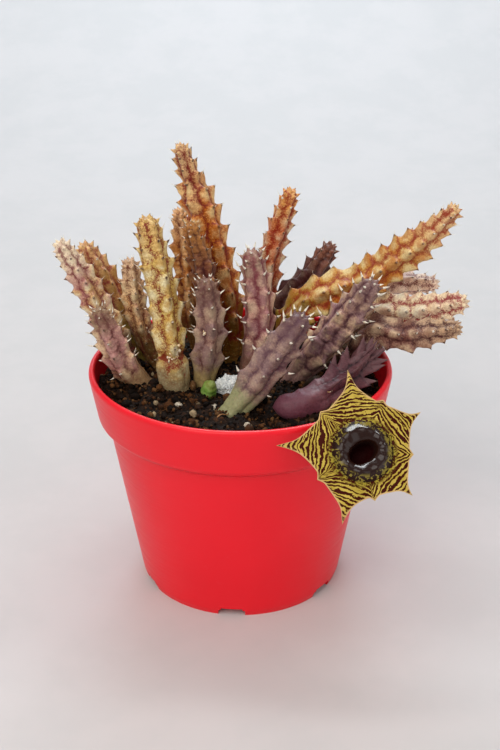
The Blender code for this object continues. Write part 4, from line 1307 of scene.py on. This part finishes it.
def build_pedicel(skin):
    """Flower stalk over the rim, with five narrow sepals behind the flower."""
    middle, across, above, normal = flower_frame()
    back = Vector(middle - normal * (TUBE_DEPTH + 1.4 + GAP))
    way = Vector(normal)
    path = [back, back - way * 1.6, back - way * 3.2, Vector((38.0, -42.2, 69.5)),
            Vector((37.5, -41.8, 77)), Vector((36.2, -39.9, 84.6)), Vector((34.2, -36.5, 86.4)),
            Vector((31.5, -32.8, 83.5)), Vector((29.4, -30.2, 77.5)), Vector((28.6, -29.2, 70))]
    radii = (2.4, 2.6, 1.5, 1.1, 1.1, 1.1, 1.1, 1.15, 1.25, 1.3)
    rings = []
    along = -way
    side = along.orthogonal().normalized()
    steps, sides = 90, 14
    for i in range(steps + 1):
        t = i * (len(path) - 1) / steps
        here = curve_point(path, t)
        ahead = curve_point(path, min(t + 0.05, len(path) - 1.0))
        before = curve_point(path, max(t - 0.05, 0.0))
        turned = (ahead - before).normalized()
        side = along.rotation_difference(turned) @ side
        along = turned
        up = along.cross(side)
        radius = float(np.interp(t, range(len(radii)), radii))
        radius *= 1 + 0.04 * math.sin(i * 0.9)
        rings.append([here + side * radius * math.cos(2 * math.pi * k / sides)
                      + up * radius * math.sin(2 * math.pi * k / sides) for k in range(sides)])
    rings = np.array(rings)
    body = Body()
    body.add_rings(rings, 0, first=rings[0].mean(axis=0), last=rings[-1].mean(axis=0))
    for k in range(5):
        turn = 2 * math.pi * (k + 0.3) / 5
        outward = across * math.cos(turn) + above * math.sin(turn)
        root = np.array(back) - normal * 0.9 + outward * 2.1
        cone(body, root, outward * 0.75 + normal * 0.9, 0.85, 5.2, 0, bend=outward * 0.8, sides=8)
    stalk = body.done("flower_stalk", (skin,))
    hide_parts("pedicel")


# Studio


def build_studio():
    """A plain pale sweep, soft lamps and a pale sky."""
    rings = []
    for y, z in ((-1.5, 0.0), (0.35, 0.0), (0.6, 0.02), (0.8, 0.1), (0.95, 0.25), (1.02, 0.5), (1.05, 2.2)):
        rings.append([(-2.2, y, z), (2.2, y, z)])
    mesh = bpy.data.meshes.new("sweep")
    points = [p for ring in rings for p in ring]
    faces = [(2 * i, 2 * i + 1, 2 * i + 3, 2 * i + 2) for i in range(len(rings) - 1)]
    mesh.from_pydata(points, [], faces)
    mesh.materials.append(paper_sweep())
    sweep = bpy.data.objects.new("sweep", mesh)
    bpy.context.scene.collection.objects.link(sweep)
    soft = sweep.modifiers.new("smooth", "SUBSURF")
    soft.levels = 3
    soft.render_levels = 3
    mesh.shade_smooth()
    plant = (0.0, 0.0, 0.08)
    lamps = (("key", (-0.38, -0.75, 0.8), plant, 0.9, 0.9, 8.6, "FFFAF4"),
             ("fill", (0.9, -0.55, 0.4), plant, 0.9, 0.9, 2.6, "FFFFFF"),
             ("top", (0.0, 0.3, 0.95), plant, 0.9, 0.14, 2.8, "FFFFFF"),
             ("window", (0.1, 0.3, 0.92), plant, 0.8, 0.22, 10.0, "F4FBFF"),
             ("backdrop", (0.0, 1.0, 0.8), (0.0, 0.95, 0.0), 0.5, 0.5, 9.0, "DDF0FF"))
    for name, place, target, wide, deep, power, colour in lamps:
        lamp = bpy.data.lights.new(name, "AREA")
        lamp.shape = "RECTANGLE"
        lamp.size = wide
        lamp.size_y = deep
        lamp.energy = power
        lamp.color = linear(colour)[:3]
        obj = bpy.data.objects.new(name, lamp)
        obj.location = place
        aim = Vector(target) - Vector(place)
        obj.rotation_euler = aim.to_track_quat("-Z", "Y").to_euler()
        # The window is only there to be mirrored in what is glossy
        obj.visible_diffuse = name != "window"
        bpy.context.scene.collection.objects.link(obj)
    world = bpy.data.worlds.new("studio")
    world.use_nodes = True
    sky = world.node_tree.nodes["Background"]
    set_inputs(world.node_tree, sky, {"Color": linear("F2F6F8"), "Strength": 0.42})
    bpy.context.scene.world = world
    bpy.context.scene.view_settings.view_transform = "Standard"


def build_camera():
    """The photograph's viewpoint: a short telephoto looking 25 degrees down."""
    lens = bpy.data.cameras.new("camera")
    lens.lens = 62.256
    lens.sensor_width = 36
    lens.sensor_fit = "AUTO"
    lens.clip_start = 0.01
    camera = bpy.data.objects.new("camera", lens)
    camera.location = (0.0033 + PLACE[0] * MM, -0.40981 + PLACE[1] * MM, 0.26890)
    camera.rotation_euler = (math.radians(90 - 24.93), 0, 0)
    bpy.context.scene.collection.objects.link(camera)
    bpy.context.scene.camera = camera


def main():
    build_pot(moulded_plastic())
    build_soil(potting_mix())
    build_lumps(crystal_crust(), perlite_grain())
    build_rootlet(root_fibre())
    build_stems()
    build_corolla(petal_skin(), ring_skin())
    build_pedicel(stalk_skin())
    build_studio()
    build_camera()
    bpy.context.view_layer.update()


main()
